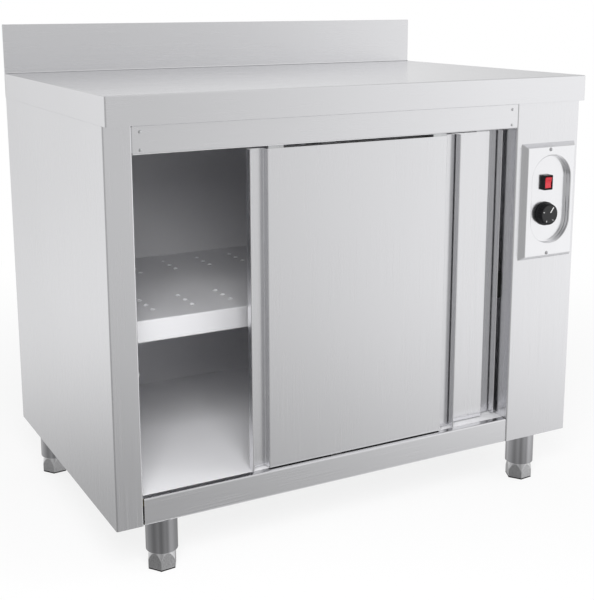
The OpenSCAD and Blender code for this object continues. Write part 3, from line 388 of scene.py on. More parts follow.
class Recipe:
    """Node tree of one material round its shader, with patterns read from Object coordinates."""

    def __init__(self, name: str) -> None:
        """Makes an empty material with its shader and its coordinates.

        Args:
            name: name of the material.
        """
        self.material = bpy.data.materials.new(name)
        self.material.use_nodes = True
        self.tree = self.material.node_tree
        self.tree.nodes.clear()
        self.shader = self.tree.nodes.new("ShaderNodeBsdfPrincipled")
        output = self.tree.nodes.new("ShaderNodeOutputMaterial")
        self.tree.links.new(self.shader.outputs[0], output.inputs[0])
        self.place = self.tree.nodes.new("ShaderNodeTexCoord").outputs["Object"]

    def set(self, **values: float | tuple[float, ...]) -> "Recipe":
        """Writes constants on the shader's own sockets.

        Args:
            values: value for each socket, whose name has underscores for spaces.

        Returns:
            The recipe.
        """
        for key, value in values.items():
            self.shader.inputs[key.replace("_", " ")].default_value = value
        return self

    def noise(self, stretch: tuple[float, float, float], detail: float = 2.0) -> bpy.types.NodeSocket:
        """Noise in cycles per metre along each axis.

        Args:
            stretch: cycles per metre along X, Y and Z.
            detail: octaves of finer noise.

        Returns:
            The noise's value, from 0 to 1.
        """
        mapping = self.tree.nodes.new("ShaderNodeMapping")
        mapping.inputs["Scale"].default_value = stretch
        noise = self.tree.nodes.new("ShaderNodeTexNoise")
        noise.inputs["Scale"].default_value = 1.0
        noise.inputs["Detail"].default_value = detail
        self.tree.links.new(self.place, mapping.inputs["Vector"])
        self.tree.links.new(mapping.outputs[0], noise.inputs["Vector"])
        return noise.outputs[0]

    def cells(self, scale: float) -> bpy.types.NodeSocket:
        """Random values by cell.

        Args:
            scale: cells per metre.

        Returns:
            One value for each cell, from 0 to 1.
        """
        cells = self.tree.nodes.new("ShaderNodeTexVoronoi")
        cells.inputs["Scale"].default_value = scale
        self.tree.links.new(self.place, cells.inputs["Vector"])
        value = self.tree.nodes.new("ShaderNodeSeparateColor")
        self.tree.links.new(cells.outputs["Color"], value.inputs[0])
        return value.outputs[0]

    def mean(self, a: bpy.types.NodeSocket, b: bpy.types.NodeSocket, share: float) -> bpy.types.NodeSocket:
        """Mix of two values.

        Args:
            a: first value.
            b: second value.
            share: share of the second.

        Returns:
            The mixed value.
        """
        mix = self.tree.nodes.new("ShaderNodeMix")
        mix.inputs["Factor"].default_value = share
        self.tree.links.new(a, mix.inputs["A"])
        self.tree.links.new(b, mix.inputs["B"])
        return mix.outputs["Result"]

    def colour(self, value: bpy.types.NodeSocket, low: Sequence[float], high: Sequence[float],
               start: float = 0.3, end: float = 0.7) -> "Recipe":
        """Colours the shader by a value.

        Args:
            value: value that picks the colour.
            low: colour up to the start.
            high: colour from the end on.
            start: value at which the change begins.
            end: value at which it is over.

        Returns:
            The recipe.
        """
        ramp = self.tree.nodes.new("ShaderNodeValToRGB")
        ramp.color_ramp.elements[0].position, ramp.color_ramp.elements[1].position = start, end
        ramp.color_ramp.elements[0].color = (*low, 1.0)
        ramp.color_ramp.elements[1].color = (*high, 1.0)
        self.tree.links.new(value, ramp.inputs[0])
        self.tree.links.new(ramp.outputs[0], self.shader.inputs["Base Color"])
        return self

    def roughness(self, value: bpy.types.NodeSocket, low: float, high: float) -> "Recipe":
        """Sets the roughness by a value, over the same 0.3 to 0.7 as the colours.

        Args:
            value: value that picks the roughness.
            low: roughness at 0.3.
            high: roughness at 0.7.

        Returns:
            The recipe.
        """
        span = self.tree.nodes.new("ShaderNodeMapRange")
        span.inputs["From Min"].default_value, span.inputs["From Max"].default_value = 0.3, 0.7
        span.inputs["To Min"].default_value, span.inputs["To Max"].default_value = low, high
        self.tree.links.new(value, span.inputs["Value"])
        self.tree.links.new(span.outputs[0], self.shader.inputs["Roughness"])
        return self

    def bump(self, value: bpy.types.NodeSocket, strength: float, depth: float) -> "Recipe":
        """Raises the surface by a value.

        Args:
            value: height of the surface, from 0 to 1.
            strength: share of the relief that the light sees.
            depth: height of a value of one, in millimetres.

        Returns:
            The recipe.
        """
        bump = self.tree.nodes.new("ShaderNodeBump")
        bump.inputs["Strength"].default_value = strength
        bump.inputs["Distance"].default_value = depth * MM
        self.tree.links.new(value, bump.inputs["Height"])
        self.tree.links.new(bump.outputs[0], self.shader.inputs["Normal"])
        return self


@dataclass(frozen=True)
class BrushedSteel:
    """Satin stainless sheet: fine lines along the grain, and a slow cloud of tone over them."""

    name: str
    grain: Grain
    tone: float = 0.84
    spread: float = 0.014
    rough: float = 0.24
    metallic: float = 1.0
    line_share: float = 0.3

    def make(self) -> bpy.types.Material:
        """Builds the finish.

        Returns:
            The material.
        """
        recipe = Recipe(self.name).set(Metallic=self.metallic)
        lines = recipe.noise(self.grain.value, 4.0)
        cloud = recipe.noise((2.6, 2.6, 2.6), 2.0)
        dark, light = self.tone - self.spread, self.tone + self.spread
        recipe.colour(recipe.mean(cloud, lines, self.line_share), (dark, dark, dark + 0.018),
                      (light, light, light + 0.02))
        recipe.roughness(lines, self.rough - 0.02, self.rough + 0.04)
        return recipe.bump(lines, 0.02, 0.02).material


@dataclass(frozen=True)
class Galvanised:
    """Zinc-coated sheet with a faint spangle of flat crystals."""

    name: str

    def make(self) -> bpy.types.Material:
        """Builds the finish.

        Returns:
            The material.
        """
        recipe = Recipe(self.name).set(Metallic=1.0)
        spangle = recipe.mean(recipe.cells(105.0), recipe.noise((9.0, 9.0, 9.0), 3.0), 0.3)
        recipe.colour(spangle, (0.56, 0.575, 0.59), (0.64, 0.655, 0.67), 0.2, 0.8)
        return recipe.roughness(spangle, 0.38, 0.48).material


@dataclass(frozen=True)
class Moulded:
    """Moulded plastic or rubber with a fine leathered or eroded surface."""

    name: str
    low: tuple[float, float, float]
    high: tuple[float, float, float]
    rough: float
    texture: float = 1500.0
    depth: float = 0.02
    coat: float = 0.0
    shine: float = 0.5

    def make(self) -> bpy.types.Material:
        """Builds the finish.

        Returns:
            The material.
        """
        recipe = Recipe(self.name).set(Coat_Weight=self.coat, Coat_Roughness=0.08,
                                       Specular_IOR_Level=self.shine)
        fine = recipe.noise((self.texture,) * 3, 3.0)
        broad = recipe.noise((45.0, 45.0, 45.0), 2.0)
        recipe.colour(broad, self.low, self.high)
        recipe.roughness(fine, self.rough - 0.05, self.rough + 0.07)
        return recipe.bump(fine, 0.25, self.depth).material


@dataclass(frozen=True)
class Metal:
    """Plain metal that isn't brushed, with soft marks from its making."""

    name: str
    low: tuple[float, float, float]
    high: tuple[float, float, float]
    rough: float
    marks: float = 160.0

    def make(self) -> bpy.types.Material:
        """Builds the finish.

        Returns:
            The material.
        """
        recipe = Recipe(self.name).set(Metallic=1.0)
        marks = recipe.noise((self.marks,) * 3, 4.0)
        recipe.colour(marks, self.low, self.high)
        recipe.roughness(marks, self.rough - 0.06, self.rough + 0.08)
        return recipe.bump(marks, 0.15, 0.05).material


@dataclass(frozen=True)
class Fibrous:
    """Mineral wool or chipboard: chips or fibres in two tones with a rough face."""

    name: str
    low: tuple[float, float, float]
    high: tuple[float, float, float]
    stretch: tuple[float, float, float]
    cell: float
    depth: float

    def make(self) -> bpy.types.Material:
        """Builds the finish.

        Returns:
            The material.
        """
        recipe = Recipe(self.name)
        grain = recipe.mean(recipe.cells(self.cell), recipe.noise(self.stretch, 5.0), 0.5)
        recipe.colour(grain, self.low, self.high)
        recipe.roughness(grain, 0.8, 0.95)
        return recipe.bump(grain, 0.6, self.depth).material


def made(recipe: BrushedSteel | Galvanised | Moulded | Metal | Fibrous) -> bpy.types.Material:
    """Field that holds the recipe's material, built when the finishes are."""
    return field(default_factory=recipe.make)


@dataclass
class Finishes:
    """All finishes of the cabinet, each made once."""

    steel_x: bpy.types.Material = made(BrushedSteel("satin_steel_across", Grain.ALONG_X))
    steel_z: bpy.types.Material = made(BrushedSteel("satin_steel_upright", Grain.ALONG_Z))
    inner: bpy.types.Material = made(BrushedSteel(
        "mill_finish_steel", Grain.ALONG_X, tone=0.74, rough=0.46, metallic=0.42))
    # Painted light: a lighter, almost matt copy of the inner steel, so the cabinet's floor looks lit from
    # the opening.
    floor_painted_light: bpy.types.Material = made(BrushedSteel(
        "mill_finish_steel_floor_painted_light", Grain.ALONG_X, tone=0.82, rough=0.46, metallic=0.1))
    # Painted light: a lighter copy of the inner steel, so the shaded back wall inside the cabinet looks
    # lit.
    back_painted_light: bpy.types.Material = made(BrushedSteel(
        "mill_finish_steel_back_painted_light", Grain.ALONG_X, tone=0.78, rough=0.42, metallic=0.4))
    plate: bpy.types.Material = made(BrushedSteel(
        "bright_plate_steel", Grain.ALONG_Z, tone=0.90, rough=0.20))
    tube: bpy.types.Material = made(BrushedSteel(
        "polished_tube", Grain.ALONG_Z, tone=0.60, rough=0.09))
    galvanised: bpy.types.Material = made(Galvanised("spangled_zinc"))
    zinc: bpy.types.Material = made(Metal(
        "bright_zinc", (0.60, 0.61, 0.62), (0.76, 0.77, 0.78), 0.32))
    aluminium: bpy.types.Material = made(Metal(
        "cast_aluminium", (0.60, 0.60, 0.61), (0.68, 0.68, 0.69), 0.17, marks=420.0))
    copper: bpy.types.Material = made(Metal(
        "drawn_copper", (0.62, 0.30, 0.18), (0.80, 0.42, 0.26), 0.28))
    dark_steel: bpy.types.Material = made(Metal(
        "heated_steel", (0.16, 0.15, 0.14), (0.30, 0.28, 0.26), 0.42))
    rubber: bpy.types.Material = made(Moulded(
        "black_rubber", (0.005, 0.005, 0.005), (0.010, 0.010, 0.010), 0.62, texture=900.0, shine=0.15))
    nylon: bpy.types.Material = made(Moulded(
        "white_nylon", (0.74, 0.74, 0.71), (0.82, 0.82, 0.80), 0.38))
    black: bpy.types.Material = made(Moulded(
        "black_plastic", (0.003, 0.003, 0.004), (0.006, 0.006, 0.007), 0.34, shine=0.28))
    dial: bpy.types.Material = made(Moulded(
        "dial_grey_plastic", (0.017, 0.017, 0.018), (0.024, 0.024, 0.026), 0.40,
        texture=2600.0, shine=0.35))
    red: bpy.types.Material = made(Moulded(
        "clear_red_plastic", (0.46, 0.010, 0.022), (0.56, 0.018, 0.032), 0.18, depth=0.005, coat=0.4))
    ivory: bpy.types.Material = made(Moulded(
        "ivory_plastic", (0.66, 0.62, 0.52), (0.74, 0.70, 0.60), 0.40))
    print: bpy.types.Material = made(Moulded(
        "white_marking", (0.80, 0.80, 0.80), (0.86, 0.86, 0.86), 0.45, depth=0.005))
    paint: bpy.types.Material = made(Moulded(
        "grey_motor_paint", (0.10, 0.12, 0.14), (0.13, 0.15, 0.17), 0.42, texture=600.0))
    wool: bpy.types.Material = made(Fibrous(
        "mineral_wool", (0.42, 0.36, 0.22), (0.66, 0.58, 0.38), (60.0, 300.0, 300.0), 220.0, 1.2))
    chipboard: bpy.types.Material = made(Fibrous(
        "chipboard", (0.36, 0.25, 0.14), (0.60, 0.46, 0.29), (160.0, 220.0, 420.0), 180.0, 0.3))


def settle(obj: bpy.types.Object, body: str, finish: bpy.types.Material,
           stands_for: Sequence[str] = ()) -> bpy.types.Object:
    """Gives a finished piece its finish, its body and the nodes that it stands for.

    Args:
        obj: the piece.
        body: body of the model that it moves with.
        finish: its material.
        stands_for: nodes of the model that it replaces.

    Returns:
        The piece.
    """
    obj.data.materials.clear()
    obj.data.materials.append(finish)
    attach(obj, body)
    if stands_for:
        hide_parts(*stands_for)
    log.info("%s rides on %s, %d faces", obj.name, body, len(obj.data.polygons))
    return obj


# ---------- the cabinet's sub-assemblies ----------


@dataclass
class Worktop:
    """Folded worktop with its splashback, the board under it and the bars that carry it."""

    finishes: Finishes
    sheet: float = 1.2
    edge_r: float = 3.0
    upstand_t: float = 3.0
    hem_r: float = 1.35
    top: float = 850.0
    apron: float = 50.0
    hem_w: float = 14.8
    body_face: float = -304.0

    def build(self) -> None:
        """Builds the sheet, and finishes the board and the bars."""
        settle(self.sheet_shape().to_object("worktop_sheet"), "cabinet",
               self.finishes.steel_x, ["worktop"])
        keep("worktop_board", self.finishes.chipboard)
        keep("top_crossbars", self.finishes.galvanised)

    def sheet_shape(self) -> Shape:
        """Edges carried round the plan, a flat top, and the splashback carried across.

        A point of the edge is q + (R - d) u at height z: q runs along the plan drawn in by the corner
        radius R, u is the outward direction that turns at the corners, and (d, z) is the edge's profile.

        Returns:
            The closed sheet.
        """
        low, high = box_of("worktop")
        r, t, z1 = self.edge_r, self.sheet, self.top
        z0 = z1 - self.apron
        x0, x1, y0, y1 = low[0] + r, high[0] - r, low[1] + r, high[1]
        quarter = np.linspace(0, np.pi / 2, 9)
        place = np.vstack([[[x0, y1]], np.tile([x0, y0], (9, 1)), np.tile([x1, y0], (9, 1)), [[x1, y1]]])
        angle = np.concatenate([[np.pi], np.pi + quarter, 1.5 * np.pi + quarter, [2 * np.pi]])
        out = np.stack([np.cos(angle), np.sin(angle)], -1)
        outer = rounded([[r, z1], [0, z1], [0, z0], [t, z0]], [r, 0.35])
        inner = rounded([[t, z0 + 0.01], [t, z1 - t], [r, z1 - t]], r - t)
        profile = np.vstack([outer, inner])
        points = np.zeros((len(profile), len(place), 3))
        points[:, :, :2] = place + (r - profile[:, 0])[:, None, None] * out
        points[:, :, 2] = profile[:, 1][:, None]
        shape = Shape()
        numbers = shape.grid(points)
        shape.cap(numbers[0][[0, 9, 10, 19]])
        shape.cap(numbers[-1][[0, 9, 10, 19]])
        half = len(outer)
        for column in (numbers[:, 0], numbers[:, -1]):
            shape.cap(column[:half + 1])
            shape.cap(column[half:])
        plate = rounded_box_loop(self.hem_w, t, 0.3, 3) + [(low[1] + t + self.body_face) / 2, z0 + t / 2]
        shape.prism(plate, Along.X, low[0] + r, high[0] - r)
        back, front, rise = high[1], high[1] - self.upstand_t, high[2]
        outline = rounded([[front - 4 * r, z1], [front, z1], [front, rise], [back, rise], [back, z0],
                           [back - t, z0], [back - t, z1 - t], [front - 4 * r, z1 - t]],
                          [r, self.hem_r, self.hem_r, 0.3, 0.3, 0.3], 8)
        shape.prism(outline, Along.X, low[0], high[0])
        return shape


@dataclass
class SlidingDoor:
    """One hanging door: a skin folded into a finger channel along both upright edges, its back,
    its hangers and its two rollers."""

    side: str
    finishes: Finishes
    sheet: float = 1.0
    lip_t: float = 3.5
    lip_set: float = 1.0
    lip_hem: float = 11.0
    channel: float = 34.0
    channel_depth: float = 16.0
    fold_r: float = 1.5
    bore_r: float = 2.55

    def build(self) -> None:
        """Builds the skin and the rollers, and finishes the back and the hangers."""
        body = f"{self.side}_door"
        low, high = box_of(f"{body}_skin")
        shape = Shape()
        shape.strip(self.skin_line(high[0] - low[0]) + low[:2], self.sheet, Along.Z, low[2], high[2])
        settle(shape.to_object(f"{body}_face"), body, self.finishes.steel_z, [f"{body}_skin"])
        keep(f"{body}_back", self.finishes.steel_z)
        settle(smooth_copy(f"{body}_hangers"), body, self.finishes.zinc,
               [f"{body}_hangers"])
        for hand in ("left", "right"):
            node = f"{self.side}_roller_{hand}"
            settle(self.roller_shape(node).to_object(f"{node}_wheel"), node,
                   self.finishes.nylon, [node])

    def skin_line(self, width: float) -> Array:
        """Centre line of the skin seen from above, its left half mirrored to the right.

        Args:
            width: width of the door.

        Returns:
            Points of the rounded line, from the door's left front corner.
        """
        h = self.sheet / 2
        lip, floor = self.lip_t - h, self.channel_depth + h
        half = np.array([[lip, self.lip_set + self.lip_hem], [lip, self.lip_set + h], [h, self.lip_set + h],
                         [h, floor], [self.channel, floor], [self.channel, h]])
        other = half[::-1] * [-1, 1] + [width, 0]
        hem_r = (self.lip_t - self.sheet) / 2 - 0.05
        radii = [hem_r, hem_r] + [self.fold_r] * 6 + [hem_r, hem_r]
        return rounded(np.vstack([half, other]), radii, 6)

    def roller_shape(self, node: str) -> Shape:
        """A grooved wheel turned about the line of its axle.

        Args:
            node: name of the roller's node.

        Returns:
            The wheel.
        """
        low, high = box_of(node)
        centre, r, w = (low + high) / 2, (high[2] - low[2]) / 2, high[1] - low[1]
        profile = rounded([[self.bore_r, w / 2], [r * 0.55, w / 2], [r * 0.6, w / 2 - 0.8],
                           [r * 0.85, w / 2 - 0.8], [r * 0.9, w / 2], [r, w / 2], [r, -w / 2],
                           [r * 0.9, -w / 2], [r * 0.85, 0.8 - w / 2], [r * 0.6, 0.8 - w / 2],
                           [r * 0.55, -w / 2], [self.bore_r, -w / 2]], 0.3, 3)
        shape = Shape()
        shape.turned(profile, centre, (0, 1, 0), 48, ring=True)
        return shape


@dataclass
class Foot:
    """Leg tube with its hexagonal levelling foot, threaded stud and rubber pad."""

    corner: str
    finishes: Finishes
    bore_r: float = 8.05
    bolt_r: float = 5.05
    wall: float = 1.5
    insert: float = 12.0
    plug: float = 3.0
    foot_turn: float = 5.0
    across_flats: float = 48.0
    thread_depth: float = 0.45
    pad_t: float = 2.5
    upright: float = 16.0
    top_r: float = 23.5
    stud_r: float = 8.0
    pitch: float = 2.0

    def build(self) -> None:
        """Builds the tube, the foot and the pad."""
        leg, foot = f"leg_{self.corner}", f"foot_{self.corner}"
        settle(self.tube_shape(leg).to_object(f"{leg}_tube"), "cabinet",
               self.finishes.tube, [leg])
        settle(self.foot_shape(foot, leg).to_object(f"{foot}_casting", 24), foot,
               self.finishes.aluminium, [foot])
        settle(self.pad_shape(foot).to_object(f"{foot}_pad"), foot, self.finishes.rubber)

    def tube_shape(self, node: str) -> Shape:
        """The tube's wall with its insert and plug as one turned ring.

        Args:
            node: name of the leg's node.

        Returns:
            The closed tube.
        """
        low, high = box_of(node)
        r, z0, z1 = (high[0] - low[0]) / 2, low[2], high[2]
        bore, bolt, inner = self.bore_r, self.bolt_r, r - self.wall
        above, below = z0 + self.insert, z1 - self.plug
        halfway = z0 + self.insert / 2
        profile = rounded([[bore, halfway], [bore, z0], [r, z0], [r, z1], [bolt, z1], [bolt, below],
                           [inner, below], [inner, above], [bore, above], [bore, halfway]],
                          [0.3, 0.9, 0.5, 0.3, 0.3, 0.3, 0.3, 0.3], 4)
        shape = Shape()
        shape.turned(profile, (*(low + high)[:2] / 2, 0), (0, 0, 1), 72, ring=True)
        return shape

    def hexagon(self, angle: Array) -> Array:
        """Radius of the hexagon: half the width across flats over the cosine of the angle to the
        nearest flat's normal."""
        turn = (angle - radians(self.foot_turn)) % (np.pi / 3) - np.pi / 6
        return self.across_flats / 2 / np.cos(turn)

    def foot_shape(self, node: str, leg: str) -> Shape:
        """The casting and its stud.

        The casting's radius is the smaller of the hexagon's and of a cone over its upright corners,
        drawn in by a small round at its foot. The stud's radius falls and rises once a pitch, with a
        phase that follows the angle, which makes a thread.

        Args:
            node: name of the foot's node.
            leg: name of the leg above it.

        Returns:
            The closed casting with its stud.
        """
        low, high = box_of(node)
        x, y = (low + high)[:2] / 2
        top, corner_r = box_of(leg)[0][2] - 0.3, self.across_flats / np.sqrt(3)
        angle = radians(self.foot_turn) + np.linspace(0, FULL_TURN, 180, endpoint=False)
        edge = self.pad_t + self.upright
        foot = self.pad_t + np.array([0.0, 0.15, 0.4, 0.8])
        crown = top - np.array([0.6, 0.4, 0.15, 0.0])
        z = np.concatenate([foot, np.linspace(edge - 4, edge, 9), np.linspace(edge, top - 0.6, 14)[1:],
                            crown[1:]])
        draw = np.interp(z, np.concatenate([foot, crown]), [0.8, 0.35, 0.12, 0, 0, 0.12, 0.35, 0.8])
        cone = np.interp(z, [edge, top], [corner_r, self.top_r])
        radius = np.minimum(self.hexagon(angle)[None, :], cone[:, None]) - draw[:, None]
        shape = Shape()
        shape.loft(self.round_points(x, y, radius, angle, z))
        turn = np.linspace(0, FULL_TURN, 24, endpoint=False)
        rise = np.arange(top - 1, high[2], self.pitch / 6)
        phase = FULL_TURN * rise[:, None] / self.pitch - turn[None, :]
        thread = self.stud_r - self.thread_depth * (1 + np.cos(phase)) / 2
        shape.loft(self.round_points(x, y, thread, turn, rise))
        return shape

    def pad_shape(self, node: str) -> Shape:
        """The pad, a hexagon with rounded edges and a slightly smaller plan.

        Args:
            node: name of the foot's node.

        Returns:
            The closed pad.
        """
        low, high = box_of(node)
        x, y = (low + high)[:2] / 2
        angle = radians(self.foot_turn) + np.linspace(0, FULL_TURN, 120, endpoint=False)
        z = np.array([0, 0.1, 0.35, 0.8, 1.7, 2.15, 2.5])
        draw = np.array([1.1, 0.6, 0.3, 0.1, 0.1, 0.3, 0.9])
        shape = Shape()
        shape.loft(self.round_points(x, y, self.hexagon(angle)[None, :] - draw[:, None], angle, z))
        return shape

    @staticmethod
    def round_points(x: float, y: float, radius: Array, angle: Array, z: Array) -> Array:
        """Points round an upright axis: (x + radius cos angle, y + radius sin angle, z).

        Args:
            x: place of the axis along X.
            y: place of the axis along Y.
            radius: radii, heights by angles.
            angle: the angles.
            z: the heights.

        Returns:
            The points, heights by angles by three.
        """
        points = np.zeros((*radius.shape, 3))
        points[..., 0] = x + radius * np.cos(angle)
        points[..., 1] = y + radius * np.sin(angle)
        points[..., 2] = z[:, None]
        return points


@dataclass
class ControlPlate:
    """Raised plate with slanted borders and a round-ended recess, with its two screws."""

    finishes: Finishes
    slope: float = 8.0
    recess_w: float = 97.0
    recess_h: float = 178.0
    recess: tuple[float, float] = (427.0, 604.0)
    bend: float = 1.6
    recess_bend: float = 2.5
    floor_y: float = -304.0
    sheet: float = 0.9

    def build(self) -> None:
        """Builds the plate and finishes its screws."""
        plate = self.plate_shape().to_object("control_plate_sheet", 40)
        wall = plate.modifiers.new("wall", "SOLIDIFY")
        wall.thickness, wall.offset = self.sheet * MM, -1.0
        plate.modifiers.move(1, 0)
        settle(plate, "cabinet", self.finishes.plate, ["control_plate"])
        settle(smooth_copy("control_plate_screws", 20), "cabinet", self.finishes.tube,
               ["control_plate_screws"])

    def plate_shape(self) -> Shape:
        """Loops from the outer edge to the recess's floor.

        The outer loops are rectangles drawn in over the slanted border, the inner ones round-ended
        outlines met by the same rays from the recess's middle, so each ray is one line of the sheet.

        Returns:
            The open sheet, seen from the front.
        """
        low, high = box_of("control_plate")
        size, mid = (high - low)[[0, 2]], (high + low)[[0, 2]] / 2
        front, back = low[1], high[1]
        middle = np.array(self.recess)
        b, s = self.bend, self.slope
        rim = self.finely(rounded_box_loop(*(size - 0.02), 0.6, 3))
        along = rim / (size / 2)
        border = rounded([[0.0, back], [s, front], [s + 1.6 * b, front]], b, 5)
        rays = rim * (1 - s / (size / 2)) + mid - middle
        angles = np.arctan2(rays[:, 1], rays[:, 0])
        loops = [np.insert(mid + rim - np.clip(along * 1.02, -1, 1) * d, 1, y, axis=1)
                 for d, y in border]
        w = self.recess_bend
        wall = rounded([[1.1 * w, front], [0.0, front], [0.0, self.floor_y], [-1.6 * w, self.floor_y]],
                       w, 7)
        loops += [np.insert(middle + slot_loop(self.recess_w + 2 * d, self.recess_h + 2 * d, angles),
                            1, y, axis=1) for d, y in wall]
        shape = Shape()
        numbers = shape.grid(np.array(loops), wrap_v=True)
        shape.cap(numbers[-1])
        return shape

    @staticmethod
    def finely(loop: Array, longest: float = 3.0) -> Array:
        """Adds points to the long legs of a closed loop, evenly along each leg.

        Args:
            loop: points of the loop.
            longest: longest leg that is left.

        Returns:
            Points of the finer loop.
        """
        ahead = np.roll(loop, -1, axis=0)
        count = np.maximum(np.ceil(np.linalg.norm(ahead - loop, axis=1) / longest).astype(int), 1)
        start = np.repeat(np.arange(len(loop)), count)
        step = np.arange(count.sum()) - np.repeat(np.cumsum(count) - count, count)
        return loop[start] + (ahead - loop)[start] * (step / np.repeat(count, count))[:, None]


@dataclass
class Switch:
    """Rocker switch: a black frame with a well, and the red rocker on its pivot."""

    finishes: Finishes
    centre: tuple[float, float] = (422.0, 638.0)
    size: tuple[float, float] = (22.0, 30.0)
    front: float = -313.0
    base: float = -304.0
    frame_w: float = 2.5
    pivot_y: float = -308.4
    tilt: float = 7.0
    rocker: tuple[float, float] = (16.0, 24.0)

    def build(self) -> None:
        """Builds the frame and the rocker."""
        settle(self.frame_shape().to_object("switch_frame"), "cabinet",
               self.finishes.black, ["switch_housing"])
        settle(self.rocker_shape().to_object("switch_rocker_cap"), "rocker",
               self.finishes.red, ["switch_rocker"])

    def loops(self, sizes: Array) -> Array:
        """Rounded rectangles about the switch's centre, one for each (drawn in, y, corner radius)."""
        rings = [np.insert(rounded_box_loop(self.size[0] - 2 * d, self.size[1] - 2 * d, r, 5) + self.centre,
                           1, y, axis=1) for d, y, r in sizes]
        return np.array(rings)

    def frame_shape(self) -> Shape:
        """The frame with a rounded front and a well, and the body behind the plate.

        Returns:
            The closed frame.
        """
        w, f = self.frame_w, self.front
        shape = Shape()
        shape.loft(self.loops([(3.3, self.base + 24, 0.6), (3.3, self.base, 0.6), (0.0, self.base, 1.6),
                               (0.0, f + 0.9, 1.6), (0.25, f + 0.3, 1.5), (0.8, f, 1.2),
                               (w - 0.5, f, 0.9), (w - 0.1, f + 0.25, 0.7), (w, f + 0.8, 0.6),
                               (w, self.base - 0.5, 0.6)]))
        return shape

    def rocker_shape(self) -> Shape:
        """The rocker: its outline's face is hollow, y = -4.6 + 1.2 (1 - (z / 11)²), and the outline is
        drawn in at both ends along X by r - sqrt(r² - (r - e)²), with e the distance to the end.

        Returns:
            The rocker with its pivot pin.
        """
        w, h = self.rocker[0] / 2, self.rocker[1] / 2
        z = np.linspace(-10.6, 10.6, 15)
        face = np.stack([-4.6 + 1.2 * (1 - (z / 11) ** 2), z], -1)
        line = np.vstack([[[2.2, -h]], [[-1.0, 0.8 - h]], [[-4.1, 1 - h]], face, [[-4.1, h - 1]],
                          [[-1.0, h - 0.8]], [[2.2, h]]])
        r = 0.9
        e = r * (1 - np.cos(np.linspace(0, np.pi / 2, 5)))
        inset = r - np.sqrt(np.maximum(r * r - (r - e) ** 2, 0))
        x = np.concatenate([-w + e, w - e[::-1]])
        scale = 1 - np.concatenate([inset, inset[::-1]]) / 6
        a = radians(self.tilt)
        turned = line @ np.array([[np.cos(a), np.sin(a)], [-np.sin(a), np.cos(a)]])
        points = np.zeros((len(x), len(line), 3))
        points[:, :, 0] = self.centre[0] + x[:, None]
        points[:, :, 1] = self.pivot_y + turned[:, 0] * scale[:, None]
        points[:, :, 2] = self.centre[1] + turned[:, 1] * scale[:, None]
        shape = Shape()
        shape.loft(points)
        shape.turned(np.array([[0, -9.7], [1.25, -9.7], [1.25, 9.7], [0, 9.7]]),
                     (self.centre[0], self.pivot_y, self.centre[1]), (1, 0, 0), 24)
        return shape


